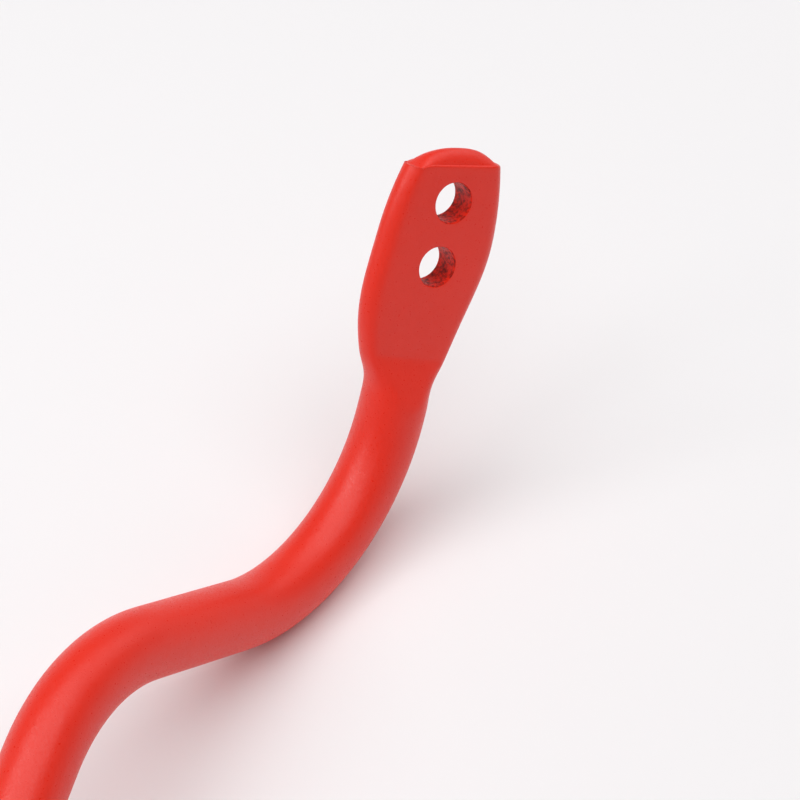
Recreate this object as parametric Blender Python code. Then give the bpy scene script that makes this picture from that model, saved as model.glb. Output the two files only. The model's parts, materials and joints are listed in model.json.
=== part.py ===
"""Sway bar: a cranked round bar with flattened, drilled ends, turning in two frame mountings.

Frame: +X to the right end of the bar, +Z up, the arms point to -Y. The origin is the bottom
centre of the whole object, which stands on Z = 0 on its two saddles and on the low bend of each
arm. Lengths are in metres and angles in degrees.
"""

import math

import bpy
import numpy as np

# Round bar
BAR_DIAMETER = 0.020
BEND_RADIUS = 0.055            # of the bar's centre line, the same former for every bend
LINK_TRACK = 1.030             # between the tips of the two paddles, at mid thickness

# Arm legs, from the straight centre section outwards: straight length between bends, heading
# (from +X towards -Y) and rise above the horizontal
CLIMB_STRAIGHT, CLIMB_HEADING, CLIMB_RISE = 0.0540, 50.8, 16.0
DROP_STRAIGHT, DROP_HEADING, DROP_RISE = 0.0390, 73.4, -30.4
PADDLE_NECK, PADDLE_HEADING, PADDLE_RISE = 0.0040, 58.9, 56.8

# Flattened end of each arm; distances run from the tip down the arm
PADDLE_THICKNESS = 0.009
PADDLE_EDGE_RADIUS = 0.0025
CROWN_HEIGHT = 0.004           # domed end above the two shoulders
CROWN_FLAT_WIDTH = 0.008       # blunt middle of the dome
SHOULDER_WIDTH = 0.0305
BELLY_WIDTH = 0.0388
BELLY_FROM_TIP = 0.030
HEEL_WIDTH = 0.0284
FLAT_LENGTH = 0.0620           # tip to heel
RAMP_LENGTH = 0.0145           # heel to full round
LINK_HOLE_DIAMETER = 0.012
FIRST_HOLE_FROM_TIP = 0.0150
LINK_HOLE_SPACING = 0.0190

# Frame mounting: a split bush in a pressed saddle, held by two bolts and washers
SADDLE_FROM_BEND = 0.075       # middle of the saddle to the start of the bar's first bend
BUSH_WALL = 0.008
BUSH_CORNER_RADIUS = 0.011
BUSH_SLIT = 0.0010
BUSH_LIP_HEIGHT = 0.0015
BUSH_LIP_WIDTH = 0.0015
BUSH_CRUSH = 0.0005            # how far the bush stands proud of the saddle's seat
SEAT_HEIGHT = 0.017            # saddle seat above the bar's axis
SADDLE_THICKNESS = 0.003
SADDLE_WIDTH = 0.030
SADDLE_BEND_RADIUS = 0.004     # mid thickness, between leg and flange
SADDLE_CORNER_RADIUS = 0.007   # plan corners of each flange
BOLT_FROM_LEG = 0.0147         # bolt axis to the outer face of the saddle's leg
FLANGE_END_FROM_BOLT = 0.012

# Fasteners
BOLT_DIAMETER = 0.010
BOLT_HEAD_ACROSS_FLATS = 0.016
BOLT_HEAD_HEIGHT = 0.0064
BOLT_REACH = 0.020             # thread beyond the saddle's seat
BOLT_HOLE_CLEARANCE = 0.0010   # on diameter
WASHER_DIAMETER = 0.020
WASHER_THICKNESS = 0.002
SCREW_DIAMETER = 0.005
SCREW_HEAD_DIAMETER = 0.0085
SCREW_HEAD_HEIGHT = 0.005
SCREW_SOCKET_ACROSS_FLATS = 0.004
SCREW_SOCKET_DEPTH = 0.0025

# Lock collar beside each bush, a block in two halves
COLLAR_LENGTH = 0.014
COLLAR_ROOF = 0.0057           # metal over the bore
COLLAR_INNER_WALL = 0.0035     # metal between the bore and each screw hole
COLLAR_OUTER_WALL = 0.0018     # metal outside each screw's recess
COLLAR_CORNER_RADIUS = 0.005
COLLAR_SPLIT = 0.001
SCREW_HEAD_SINK = 0.0002       # screw heads below the top of the collar

# Clearances
FIT = 0.0003                   # between faces that seat on each other
SIDE_PLAY = 0.0005             # along the bar, between bush, saddle and collar

# Finishes: linear colour, roughness, metallic
RED_POWDER_COAT = ((0.55, 0.014, 0.006), 0.42, 0.0)
BLACK_POLYURETHANE = ((0.012, 0.012, 0.013), 0.55, 0.0)
ZINC_PLATE = ((0.50, 0.51, 0.52), 0.32, 1.0)
ALUMINIUM = ((0.60, 0.61, 0.62), 0.30, 1.0)
BLACK_OXIDE = ((0.05, 0.05, 0.055), 0.40, 1.0)

# Facets
BAR_SIDES = 24
TURNED_SIDES = 24
BORE_SIDES = 36
BEND_STEP = 9.0                # degrees of bend for each ring of the bar
CORNER_STEP = 15.0             # the same for the corners of flat outlines

# Worked out from the sizes above; local heights are from the bar's axis
BAR_RADIUS = BAR_DIAMETER / 2
BUSH_REACH = BAR_RADIUS + BUSH_WALL
STRAP_REACH = BUSH_REACH + FIT + SADDLE_THICKNESS
AXIS_HEIGHT = STRAP_REACH
BOLT_OFFSET = STRAP_REACH + BOLT_FROM_LEG
SADDLE_REACH = BOLT_OFFSET + FLANGE_END_FROM_BOLT
BUSH_LENGTH = SADDLE_WIDTH + 2 * (SIDE_PLAY + BUSH_LIP_HEIGHT + BUSH_LIP_WIDTH)
WASHER_TOP = SEAT_HEIGHT - SADDLE_THICKNESS - FIT
BOLT_SHOULDER = WASHER_TOP - WASHER_THICKNESS - FIT
SCREW_OFFSET = BAR_RADIUS + FIT + COLLAR_INNER_WALL + FIT + SCREW_DIAMETER / 2
RECESS_RADIUS = SCREW_HEAD_DIAMETER / 2 + FIT
COLLAR_REACH = SCREW_OFFSET + RECESS_RADIUS + COLLAR_OUTER_WALL
COLLAR_TOP = BAR_RADIUS + FIT + COLLAR_ROOF
RECESS_FLOOR = COLLAR_TOP - SCREW_HEAD_SINK - SCREW_HEAD_HEIGHT - FIT
COLLAR_OFFSET = (BUSH_LENGTH + COLLAR_LENGTH) / 2 + SIDE_PLAY

SIDES = {"left": -1, "right": 1}
ENDS = {"front": -1, "rear": 1}


def heading(azimuth, rise):
    """Unit vector that turns azimuth degrees from +X towards -Y and rises by rise degrees."""
    a, r = math.radians(azimuth), math.radians(rise)
    return np.array((math.cos(r) * math.cos(a), -math.cos(r) * math.sin(a), math.sin(r)))


def unit(vectors):
    """The same vectors with length one."""
    return vectors / np.linalg.norm(vectors, axis=-1, keepdims=True)


def filleted_path(corners, radii, step):
    """Points and tangents of a polyline whose inner corners are arcs of the given radii."""
    corners = [np.asarray(c, dtype=float) for c in corners]
    points, tangents = [corners[0]], [unit(corners[1] - corners[0])]
    for before, corner, after, radius in zip(corners, corners[1:], corners[2:], radii):
        leaving, arriving = unit(after - corner), unit(corner - before)
        turn = math.acos(float(arriving @ leaving))
        centre_side = unit(leaving - arriving * (arriving @ leaving))
        centre = corner - arriving * radius * math.tan(turn / 2) + centre_side * radius
        count = max(2, math.ceil(math.degrees(turn) / step))
        for angle in np.linspace(0.0, turn, count + 1):
            points.append(centre + radius * (arriving * math.sin(angle) - centre_side * math.cos(angle)))
            tangents.append(arriving * math.cos(angle) + centre_side * math.sin(angle))
    points.append(corners[-1])
    tangents.append(unit(corners[-1] - corners[-2]))
    return np.array(points), np.array(tangents)


def loft(rings, looped=False):
    """Vertices and faces of a tube through rings of equal count, capped unless it is looped."""
    rings = np.asarray(rings)
    count, around = rings.shape[:2]
    faces = []
    for i in range(count if looped else count - 1):
        here, there = i * around, (i + 1) % count * around
        for j in range(around):
            k = (j + 1) % around
            faces.append((here + j, here + k, there + k, there + j))
    if not looped:
        last = (count - 1) * around
        faces.append(tuple(reversed(range(around))))
        faces.append(tuple(range(last, last + around)))
    return rings.reshape(-1, 3), faces


def extruded(outline, low, high):
    """Closed body of an outline in (Y, Z), anticlockwise seen from +X, from X = low to X = high."""
    rings = [[(x, y, z) for y, z in outline] for x in (low, high)]
    return loft(rings)


def ring(radius, height, sides, flats=False):
    """Level ring about Z; with flats it is a hexagon of that inner radius, with extra points."""
    angles = np.arange(sides) * 2 * math.pi / sides
    reach = np.full(sides, radius)
    if flats:
        reach = radius / np.cos((angles + math.pi / 6) % (math.pi / 3) - math.pi / 6)
    return np.stack((reach * np.cos(angles), reach * np.sin(angles), np.full(sides, height)), axis=1)


def finish_material(name, colour, roughness, metallic):
    """Principled material of one colour."""
    material = bpy.data.materials.new(name)
    material.use_nodes = True
    shader = material.node_tree.nodes["Principled BSDF"]
    shader.inputs["Base Color"].default_value = (*colour, 1.0)
    shader.inputs["Roughness"].default_value = roughness
    shader.inputs["Metallic"].default_value = metallic
    return material


def empty(name, parent, location):
    """Empty that carries other objects."""
    holder = bpy.data.objects.new(name, None)
    bpy.context.collection.objects.link(holder)
    holder.parent = parent
    holder.location = location
    return holder


def body(name, shape, look, parent, location=(0.0, 0.0, 0.0)):
    """Object made of a (vertices, faces) shape in one material, smooth where it is round."""
    vertices, faces = shape
    mesh = bpy.data.meshes.new(name)
    mesh.from_pydata([tuple(v) for v in vertices], [], faces)
    mesh.shade_smooth()
    mesh.set_sharp_from_angle(angle=math.radians(32))
    item = bpy.data.objects.new(name, mesh)
    bpy.context.collection.objects.link(item)
    item.parent = parent
    item.location = location
    mesh.materials.append(finish_material(name, *look))
    return item


def boolean(item, operation, name, shape, location=(0.0, 0.0, 0.0), rotation=(0.0, 0.0, 0.0)):
    """Boolean of an object with a hidden (vertices, faces) shape placed in the object's frame."""
    vertices, faces = shape
    mesh = bpy.data.meshes.new(name)
    mesh.from_pydata([tuple(v) for v in vertices], [], faces)
    cutter = bpy.data.objects.new(name, mesh)
    bpy.context.collection.objects.link(cutter)
    cutter.parent = item
    cutter.location = location
    cutter.rotation_euler = rotation
    cutter.hide_render = True
    cutter.display_type = "WIRE"
    modifier = item.modifiers.new(name, "BOOLEAN")
    modifier.operation = operation
    modifier.solver = "EXACT"
    modifier.object = cutter


def drill(item, name, radius, low, high, location, rotation=(0.0, 0.0, 0.0)):
    """Round hole about the cutter's own Z, from low to high."""
    shape = loft([ring(radius, low, BORE_SIDES), ring(radius, high, BORE_SIDES)])
    boolean(item, "DIFFERENCE", name, shape, location, rotation)


def leg_directions():
    """Directions of the centre section and of the three legs of the right arm, outwards."""
    return [
        heading(0.0, 0.0),
        heading(CLIMB_HEADING, CLIMB_RISE),
        heading(DROP_HEADING, DROP_RISE),
        heading(PADDLE_HEADING, PADDLE_RISE),
    ]


def bend_setback(arriving, leaving):
    """Length of straight that a bend takes off each side of its corner."""
    return BEND_RADIUS * math.tan(math.acos(float(arriving @ leaving)) / 2)


def arm_corners():
    """Corners of the right half's centre line from the bar's middle to the tip."""
    directions = leg_directions()
    setbacks = [bend_setback(a, b) for a, b in zip(directions, directions[1:])]
    straights = [CLIMB_STRAIGHT, DROP_STRAIGHT, PADDLE_NECK + RAMP_LENGTH + FLAT_LENGTH]
    lengths = np.array(straights) + setbacks + np.array((*setbacks[1:], 0.0))
    legs = [length * direction for length, direction in zip(lengths, directions[1:])]
    corners = [np.zeros(3), np.array((LINK_TRACK / 2 - sum(legs)[0], 0.0, 0.0))]
    for leg in legs:
        corners.append(corners[-1] + leg)
    return corners


def saddle_offset():
    """Distance of each saddle's middle from the middle of the bar."""
    centre, climb = leg_directions()[:2]
    return arm_corners()[1][0] - bend_setback(centre, climb) - SADDLE_FROM_BEND


def paddle_axes():
    """Directions down the right paddle from its tip, across its width and out of its face."""
    down = -heading(PADDLE_HEADING, PADDLE_RISE)
    face = unit(np.cross(down, (0.0, -1.0, 0.0)))
    return down, np.cross(face, down), face


def paddle_half_width(distance):
    """Half width of the flat at a distance from the tip: domed end, belly, then the narrowing heel."""
    shoulder, belly, heel = SHOULDER_WIDTH / 2, BELLY_WIDTH / 2, HEEL_WIDTH / 2
    if distance < CROWN_HEIGHT:
        dome = (shoulder**2 + CROWN_HEIGHT**2) / (2 * CROWN_HEIGHT)
        chord = math.sqrt(max(0.0, dome**2 - (dome - distance) ** 2))
        return max(CROWN_FLAT_WIDTH / 2, chord)
    if distance < BELLY_FROM_TIP:
        share = (BELLY_FROM_TIP - distance) / (BELLY_FROM_TIP - CROWN_HEIGHT)
        return belly - (belly - shoulder) * share**2
    share = (distance - BELLY_FROM_TIP) / (FLAT_LENGTH - BELLY_FROM_TIP)
    return belly - (belly - heel) * share**2


def paddle_section(distance):
    """Half width, half thickness and corner radius of the arm at a distance from its tip."""
    share = min(1.0, max(0.0, (distance - FLAT_LENGTH) / RAMP_LENGTH))
    blend = (1 - math.cos(math.pi * share)) / 2
    flat = np.array((paddle_half_width(distance), PADDLE_THICKNESS / 2, PADDLE_EDGE_RADIUS))
    return flat + (BAR_RADIUS - flat) * blend


def half_bar():
    """Rings of the right half of the bar, from its tip to the middle of the bar.

    Each ring is a rectangle with rounded corners, which is a circle where its half width, half
    thickness and corner radius are all the bar's radius.
    """
    down, across, face = paddle_axes()
    points, tangents = filleted_path(arm_corners()[::-1], [BEND_RADIUS] * 3, BEND_STEP)
    tip = points[0]
    crown = np.array((0.08, 0.3, 0.6, 1.0)) * CROWN_HEIGHT
    sides = np.linspace(CROWN_HEIGHT, FLAT_LENGTH, 10)[1:]
    ramp = FLAT_LENGTH + RAMP_LENGTH * np.linspace(0.0, 1.0, 6)[1:]
    distances = np.concatenate((crown, sides, ramp))
    points = np.concatenate((tip + np.outer(distances, down), points[1:]))
    tangents = np.concatenate((np.tile(down, (len(distances), 1)), tangents[1:]))
    sections = np.array([paddle_section(d) for d in distances])
    full_round = np.full((len(points) - len(distances), 3), BAR_RADIUS)
    half_width, half_thickness, corner = np.concatenate((sections, full_round)).T[:, :, None]

    faces = [face]
    for tangent in tangents[1:]:
        faces.append(unit(faces[-1] - tangent * (faces[-1] @ tangent)))
    faces = np.array(faces)
    widths = np.cross(faces, tangents)

    angles = (np.arange(BAR_SIDES) + 0.5) * 2 * math.pi / BAR_SIDES
    along_width = corner * np.cos(angles) + np.sign(np.cos(angles)) * (half_width - corner)
    along_face = corner * np.sin(angles) + np.sign(np.sin(angles)) * (half_thickness - corner)
    offsets = along_width[..., None] * widths[:, None] + along_face[..., None] * faces[:, None]
    return points[:, None] + offsets


def bar_rest_angle(vertices):
    """Turn about the bar's axis, in radians, that puts the lowest bend on the ground."""
    low, high = -math.pi / 6, math.pi / 6
    for _ in range(50):
        middle = (low + high) / 2
        lowest = (vertices[:, 1] * math.sin(middle) + vertices[:, 2] * math.cos(middle)).min()
        if lowest < -AXIS_HEIGHT:
            high = middle
        else:
            low = middle
    return (low + high) / 2


def bar_shape():
    """The whole bar: the right half and its mirror image, joined at the middle ring."""
    right = half_bar()
    left = right[-2::-1] * (-1, 1, 1)
    return loft(np.concatenate((right, left)))


def make_bar(shape, parent):
    """Sway bar with two link holes through each paddle."""
    bar = body("sway_bar", shape, RED_POWDER_COAT, parent)
    down, _, face = paddle_axes()
    tip = arm_corners()[-1]
    for side, sign in SIDES.items():
        for number in range(2):
            distance = FIRST_HOLE_FROM_TIP + number * LINK_HOLE_SPACING
            place = (tip + down * distance) * (sign, 1, 1)
            tilt = math.atan2(face[0] * sign, face[2])
            name = f"link_hole_{side}_{number + 1}_cutter"
            reach = PADDLE_THICKNESS
            drill(bar, name, LINK_HOLE_DIAMETER / 2, -reach, reach, place, (0.0, tilt, 0.0))


def bush_outline(lip):
    """Outline of the split bush in (Y, Z), with its outer wall raised by lip."""
    reach, top = BUSH_REACH + lip, SEAT_HEIGHT + BUSH_CRUSH
    slit = BUSH_SLIT / 2
    right = [(0, slit, top), (0, reach, top), (0, reach, -reach)]
    corners = right + [(0, -y, z) for _, y, z in right[::-1]]
    radii = [BUSH_LIP_HEIGHT, BUSH_CORNER_RADIUS + lip, BUSH_CORNER_RADIUS + lip, BUSH_LIP_HEIGHT]
    outer = filleted_path(corners, radii, CORNER_STEP)[0][::-1, 1:]
    bore = BAR_RADIUS + FIT
    start = math.asin(slit / bore)
    angles = math.pi / 2 - start - np.linspace(0.0, 2 * (math.pi - start), BORE_SIDES)
    inner = np.stack((bore * np.cos(angles), bore * np.sin(angles)), axis=1)
    return np.concatenate((outer, inner))


def make_bush(side, parent):
    """Polyurethane bush, split towards its seat, with a lip on each side of the saddle."""
    end = BUSH_LENGTH / 2
    lip, groove = end - BUSH_LIP_WIDTH, end - BUSH_LIP_WIDTH - BUSH_LIP_HEIGHT
    half = [(end, BUSH_LIP_HEIGHT), (lip, BUSH_LIP_HEIGHT), (groove, 0.0)]
    stations = [(-x, height) for x, height in half] + half[::-1]
    rings = [[(x, y, z) for y, z in bush_outline(height)] for x, height in stations]
    body(f"bush_{side}", loft(rings), BLACK_POLYURETHANE, parent)


def saddle_outline():
    """Outline in (Y, Z) of the strap: flanges at the top, a flat-bottomed U around the bush."""
    half = SADDLE_THICKNESS / 2
    leg, crown = STRAP_REACH - half, -(STRAP_REACH - half)
    end, level = SADDLE_REACH, SEAT_HEIGHT - half
    right = [(0, end, level), (0, leg, level), (0, leg, crown)]
    corners = right + [(0, -y, z) for _, y, z in right[::-1]]
    corner = BUSH_CORNER_RADIUS + FIT + half
    radii = [SADDLE_BEND_RADIUS, corner, corner, SADDLE_BEND_RADIUS]
    points, tangents = filleted_path(corners, radii, CORNER_STEP)
    normals = np.cross(tangents, (1.0, 0.0, 0.0))
    inside, outside = points - normals * half, points + normals * half
    return np.concatenate((inside, outside[::-1]))[:, 1:]


def saddle_plan():
    """Rectangle with round corners that the whole saddle fills, seen from above."""
    half, end = SADDLE_WIDTH / 2, SADDLE_REACH
    corners = [(-half, -end, 0), (half, -end, 0), (half, end, 0), (-half, end, 0)]
    looped = [(-half, 0, 0), *corners, (-half, 0, 0)]
    return filleted_path(looped, [SADDLE_CORNER_RADIUS] * 4, CORNER_STEP)[0][:-1]


def make_saddle(side, parent):
    """Pressed steel saddle with two bolt holes and round flange corners."""
    half = SADDLE_WIDTH / 2
    strap = extruded(saddle_outline(), -2 * half, 2 * half)
    saddle = body(f"saddle_{side}", strap, ZINC_PLATE, parent)
    blank = loft([saddle_plan() + (0, 0, -2 * STRAP_REACH), saddle_plan() + (0, 0, 2 * SEAT_HEIGHT)])
    boolean(saddle, "INTERSECT", f"saddle_{side}_plan_cutter", blank)
    radius, reach = (BOLT_DIAMETER + BOLT_HOLE_CLEARANCE) / 2, 2 * SADDLE_THICKNESS
    for end, sign in ENDS.items():
        place = (0.0, sign * BOLT_OFFSET, SEAT_HEIGHT)
        drill(saddle, f"saddle_{side}_{end}_hole_cutter", radius, -reach, reach, place)


def make_bolts(side, parent):
    """Hexagon bolts with washers, heads below the flanges and threads pointing up."""
    radius, chamfer = BOLT_DIAMETER / 2, BOLT_DIAMETER / 10
    flats, low = BOLT_HEAD_ACROSS_FLATS / 2, BOLT_SHOULDER - BOLT_HEAD_HEIGHT
    top = SEAT_HEIGHT + BOLT_REACH
    bore = radius + FIT
    for end, sign in ENDS.items():
        place = (0.0, sign * BOLT_OFFSET, 0.0)
        bolt = [
            ring(flats - chamfer / 2, low, TURNED_SIDES),
            ring(flats, low + chamfer, TURNED_SIDES, flats=True),
            ring(flats, BOLT_SHOULDER, TURNED_SIDES, flats=True),
            ring(radius, BOLT_SHOULDER, TURNED_SIDES),
            ring(radius, top - chamfer, TURNED_SIDES),
            ring(radius - chamfer, top, TURNED_SIDES),
        ]
        body(f"saddle_bolt_{end}_{side}", loft(bolt), ZINC_PLATE, parent, place)
        washer = [
            ring(WASHER_DIAMETER / 2, WASHER_TOP - WASHER_THICKNESS, TURNED_SIDES),
            ring(WASHER_DIAMETER / 2, WASHER_TOP, TURNED_SIDES),
            ring(bore, WASHER_TOP, TURNED_SIDES),
            ring(bore, WASHER_TOP - WASHER_THICKNESS, TURNED_SIDES),
        ]
        body(f"saddle_washer_{end}_{side}", loft(washer, looped=True), ZINC_PLATE, parent, place)


def collar_outline():
    """Outline in (Y, Z) of the upper half of a lock collar, with half of the bore."""
    split = COLLAR_SPLIT / 2
    right = [(0, COLLAR_REACH, split), (0, COLLAR_REACH, COLLAR_TOP)]
    corners = right + [(0, -y, z) for _, y, z in right[::-1]]
    outer = filleted_path(corners, [COLLAR_CORNER_RADIUS] * 2, CORNER_STEP)[0][:, 1:]
    bore = BAR_RADIUS + FIT
    start = math.asin(split / bore)
    angles = np.linspace(math.pi - start, start, BORE_SIDES // 2)
    inner = np.stack((bore * np.cos(angles), bore * np.sin(angles)), axis=1)
    return np.concatenate((outer, inner))


def make_collar(side, sign, parent):
    """Two clamp halves beside the inner end of a bush, and the two screws that close them."""
    centre = (sign * (saddle_offset() - COLLAR_OFFSET), 0.0, 0.0)
    half = COLLAR_LENGTH / 2
    upper = collar_outline()
    lower = (upper * (1, -1))[::-1]
    hole, through = SCREW_DIAMETER / 2 + FIT, 2 * COLLAR_TOP
    top = body(f"collar_top_{side}", extruded(upper, -half, half), ALUMINIUM, parent, centre)
    bottom = body(f"collar_bottom_{side}", extruded(lower, -half, half), ALUMINIUM, parent, centre)
    for end, way in ENDS.items():
        place = (0.0, way * SCREW_OFFSET, 0.0)
        drill(top, f"collar_top_{side}_{end}_hole_cutter", hole, -through, through, place)
        drill(top, f"collar_top_{side}_{end}_recess_cutter", RECESS_RADIUS, RECESS_FLOOR, through, place)
        drill(bottom, f"collar_bottom_{side}_{end}_hole_cutter", hole, -through, through, place)
        make_collar_screw(f"collar_screw_{end}_{side}", parent, (centre[0], way * SCREW_OFFSET, 0.0))


def make_collar_screw(name, parent, place):
    """Socket head cap screw, its head in the recess of the upper collar half."""
    radius, head = SCREW_DIAMETER / 2, SCREW_HEAD_DIAMETER / 2
    shoulder = RECESS_FLOOR + FIT
    top, chamfer = shoulder + SCREW_HEAD_HEIGHT, SCREW_DIAMETER / 10
    tip = -COLLAR_TOP + chamfer
    socket = SCREW_SOCKET_ACROSS_FLATS / 2
    screw = [
        ring(radius - chamfer, tip, TURNED_SIDES),
        ring(radius, tip + chamfer, TURNED_SIDES),
        ring(radius, shoulder, TURNED_SIDES),
        ring(head, shoulder, TURNED_SIDES),
        ring(head, top - chamfer, TURNED_SIDES),
        ring(head - chamfer, top, TURNED_SIDES),
        ring(socket, top, TURNED_SIDES, flats=True),
        ring(socket, top - SCREW_SOCKET_DEPTH, TURNED_SIDES, flats=True),
    ]
    body(name, loft(screw), BLACK_OXIDE, parent, place)


def main():
    for item in list(bpy.data.objects):
        bpy.data.objects.remove(item, do_unlink=True)

    shape = bar_shape()
    angle = bar_rest_angle(shape[0])
    front = (shape[0][:, 1] * math.cos(angle) - shape[0][:, 2] * math.sin(angle)).min()
    centre_line = -(front + SADDLE_REACH) / 2

    frame = empty("frame", None, (0.0, centre_line, AXIS_HEIGHT))
    bar_axis = empty("bar_axis", frame, (0.0, 0.0, 0.0))
    bar_axis.rotation_euler = (angle, 0.0, 0.0)
    make_bar(shape, bar_axis)
    for side, sign in SIDES.items():
        make_collar(side, sign, frame)
        saddle_axis = empty(f"saddle_axis_{side}", frame, (sign * saddle_offset(), 0.0, 0.0))
        make_bush(side, saddle_axis)
        make_saddle(side, saddle_axis)
        make_bolts(side, saddle_axis)


main()
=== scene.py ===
"""Finished looks of a sway bar and its two frame mountings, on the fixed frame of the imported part.

The bar is one forging: a round bar bent cold, with flattened, drilled ends. It turns in split
polyurethane bushes, which pressed saddles hold to the vehicle, and aluminium lock collars beside
the bushes stop it from sliding. Lengths are in metres, angles in degrees, and places are in the
part's own frame.
"""

import json
import logging
import math
from collections.abc import Callable
from dataclasses import dataclass, field
from enum import Enum

import bmesh
import bpy
import numpy as np
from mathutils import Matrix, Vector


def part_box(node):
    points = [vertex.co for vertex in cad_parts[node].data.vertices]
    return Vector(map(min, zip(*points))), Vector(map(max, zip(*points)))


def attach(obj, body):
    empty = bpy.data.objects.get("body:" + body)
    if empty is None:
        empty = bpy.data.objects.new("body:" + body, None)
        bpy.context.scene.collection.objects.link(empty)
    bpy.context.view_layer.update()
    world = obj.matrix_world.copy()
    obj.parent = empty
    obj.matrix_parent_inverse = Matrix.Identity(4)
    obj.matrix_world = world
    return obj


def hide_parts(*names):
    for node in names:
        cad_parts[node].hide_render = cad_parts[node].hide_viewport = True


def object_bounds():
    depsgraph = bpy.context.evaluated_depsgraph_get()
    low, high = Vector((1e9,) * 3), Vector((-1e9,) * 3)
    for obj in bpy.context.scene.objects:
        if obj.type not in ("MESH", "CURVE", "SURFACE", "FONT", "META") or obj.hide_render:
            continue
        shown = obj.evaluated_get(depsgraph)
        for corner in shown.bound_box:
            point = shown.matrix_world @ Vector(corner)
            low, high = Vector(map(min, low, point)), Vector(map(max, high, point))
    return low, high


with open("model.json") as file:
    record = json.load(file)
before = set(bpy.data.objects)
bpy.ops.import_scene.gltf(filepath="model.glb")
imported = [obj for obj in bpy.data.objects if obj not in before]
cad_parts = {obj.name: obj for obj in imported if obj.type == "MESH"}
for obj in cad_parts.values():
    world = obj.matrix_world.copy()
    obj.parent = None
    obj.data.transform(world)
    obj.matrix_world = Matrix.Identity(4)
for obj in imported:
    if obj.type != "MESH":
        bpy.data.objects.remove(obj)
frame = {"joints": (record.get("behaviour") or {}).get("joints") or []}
CAD_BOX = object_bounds()

Array = np.ndarray
Place = Callable[[Array, Array], Array]
log = logging.getLogger("sway_bar")

ALONG = np.array((1.0, 0.0, 0.0))
SEW_GRID = 1e-6                # points closer than this are one point
SHARP_EDGE = 38.0              # edges that turn by more than this stay crisp in shading
ROUND_STEPS = np.radians(np.array((0.0, 30.0, 60.0, 90.0)))   # stations of a rounded edge
EDGE_ROWS = len(ROUND_STEPS)
RAY_POINTS = 8                 # from a block's border in to the rim of its hole
CELL_OFFSET = 0.37             # keeps round values off the borders of the sewing lattice


class Side(Enum):
    """End of the bar, with its sign along X."""

    LEFT = -1
    RIGHT = 1

    @property
    def label(self) -> str:
        """Name of the side as the nodes and bodies have it."""
        return self.name.lower()


class End(Enum):
    """Side of the bar's axis towards the arms (front) or away from them (rear), with its sign along Y."""

    FRONT = -1
    REAR = 1

    @property
    def label(self) -> str:
        """Name of the end as the nodes have it."""
        return self.name.lower()


# ---------------------------------------------------------------- small geometry helpers


def unit(vector: Array) -> Array:
    """The same vector with length one."""
    return vector / np.linalg.norm(vector, axis=-1, keepdims=True)


def turned(vectors: Array, axis: Array, angles: Array) -> Array:
    """Vectors turned about a unit axis.

    Rodrigues' formula: v cos a + (k x v) sin a + k (k . v)(1 - cos a).

    Args:
        vectors: one vector, or one for each angle.
        axis: unit axis k.
        angles: turn in radians for each result.

    Returns:
        One turned vector for each angle.
    """
    cosine, sine = np.cos(angles)[..., None], np.sin(angles)[..., None]
    along = (vectors @ axis)[..., None] * axis
    return vectors * cosine + np.cross(axis, vectors) * sine + along * (1 - cosine)


def heading(azimuth: float, rise: float) -> Array:
    """Unit vector turned azimuth degrees from +X towards -Y and raised by rise degrees."""
    a, r = math.radians(azimuth), math.radians(rise)
    return np.array((math.cos(r) * math.cos(a), -math.cos(r) * math.sin(a), math.sin(r)))


def smooth(share: Array) -> Array:
    """Ease between 0 and 1: half a cosine wave of the share, which is clipped to that range."""
    return (1 - np.cos(math.pi * np.clip(share, 0.0, 1.0))) / 2


def soft_clamp(x: Array, limit: Array, softness: float) -> Array:
    """x held between -limit and limit with rounded corners.

    Half the difference of two hyperbolas: (sqrt((x + b)^2 + k^2) - sqrt((x - b)^2 + k^2)) / 2.
    """
    return (np.sqrt((x + limit) ** 2 + softness**2) - np.sqrt((x - limit) ** 2 + softness**2)) / 2


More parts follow.
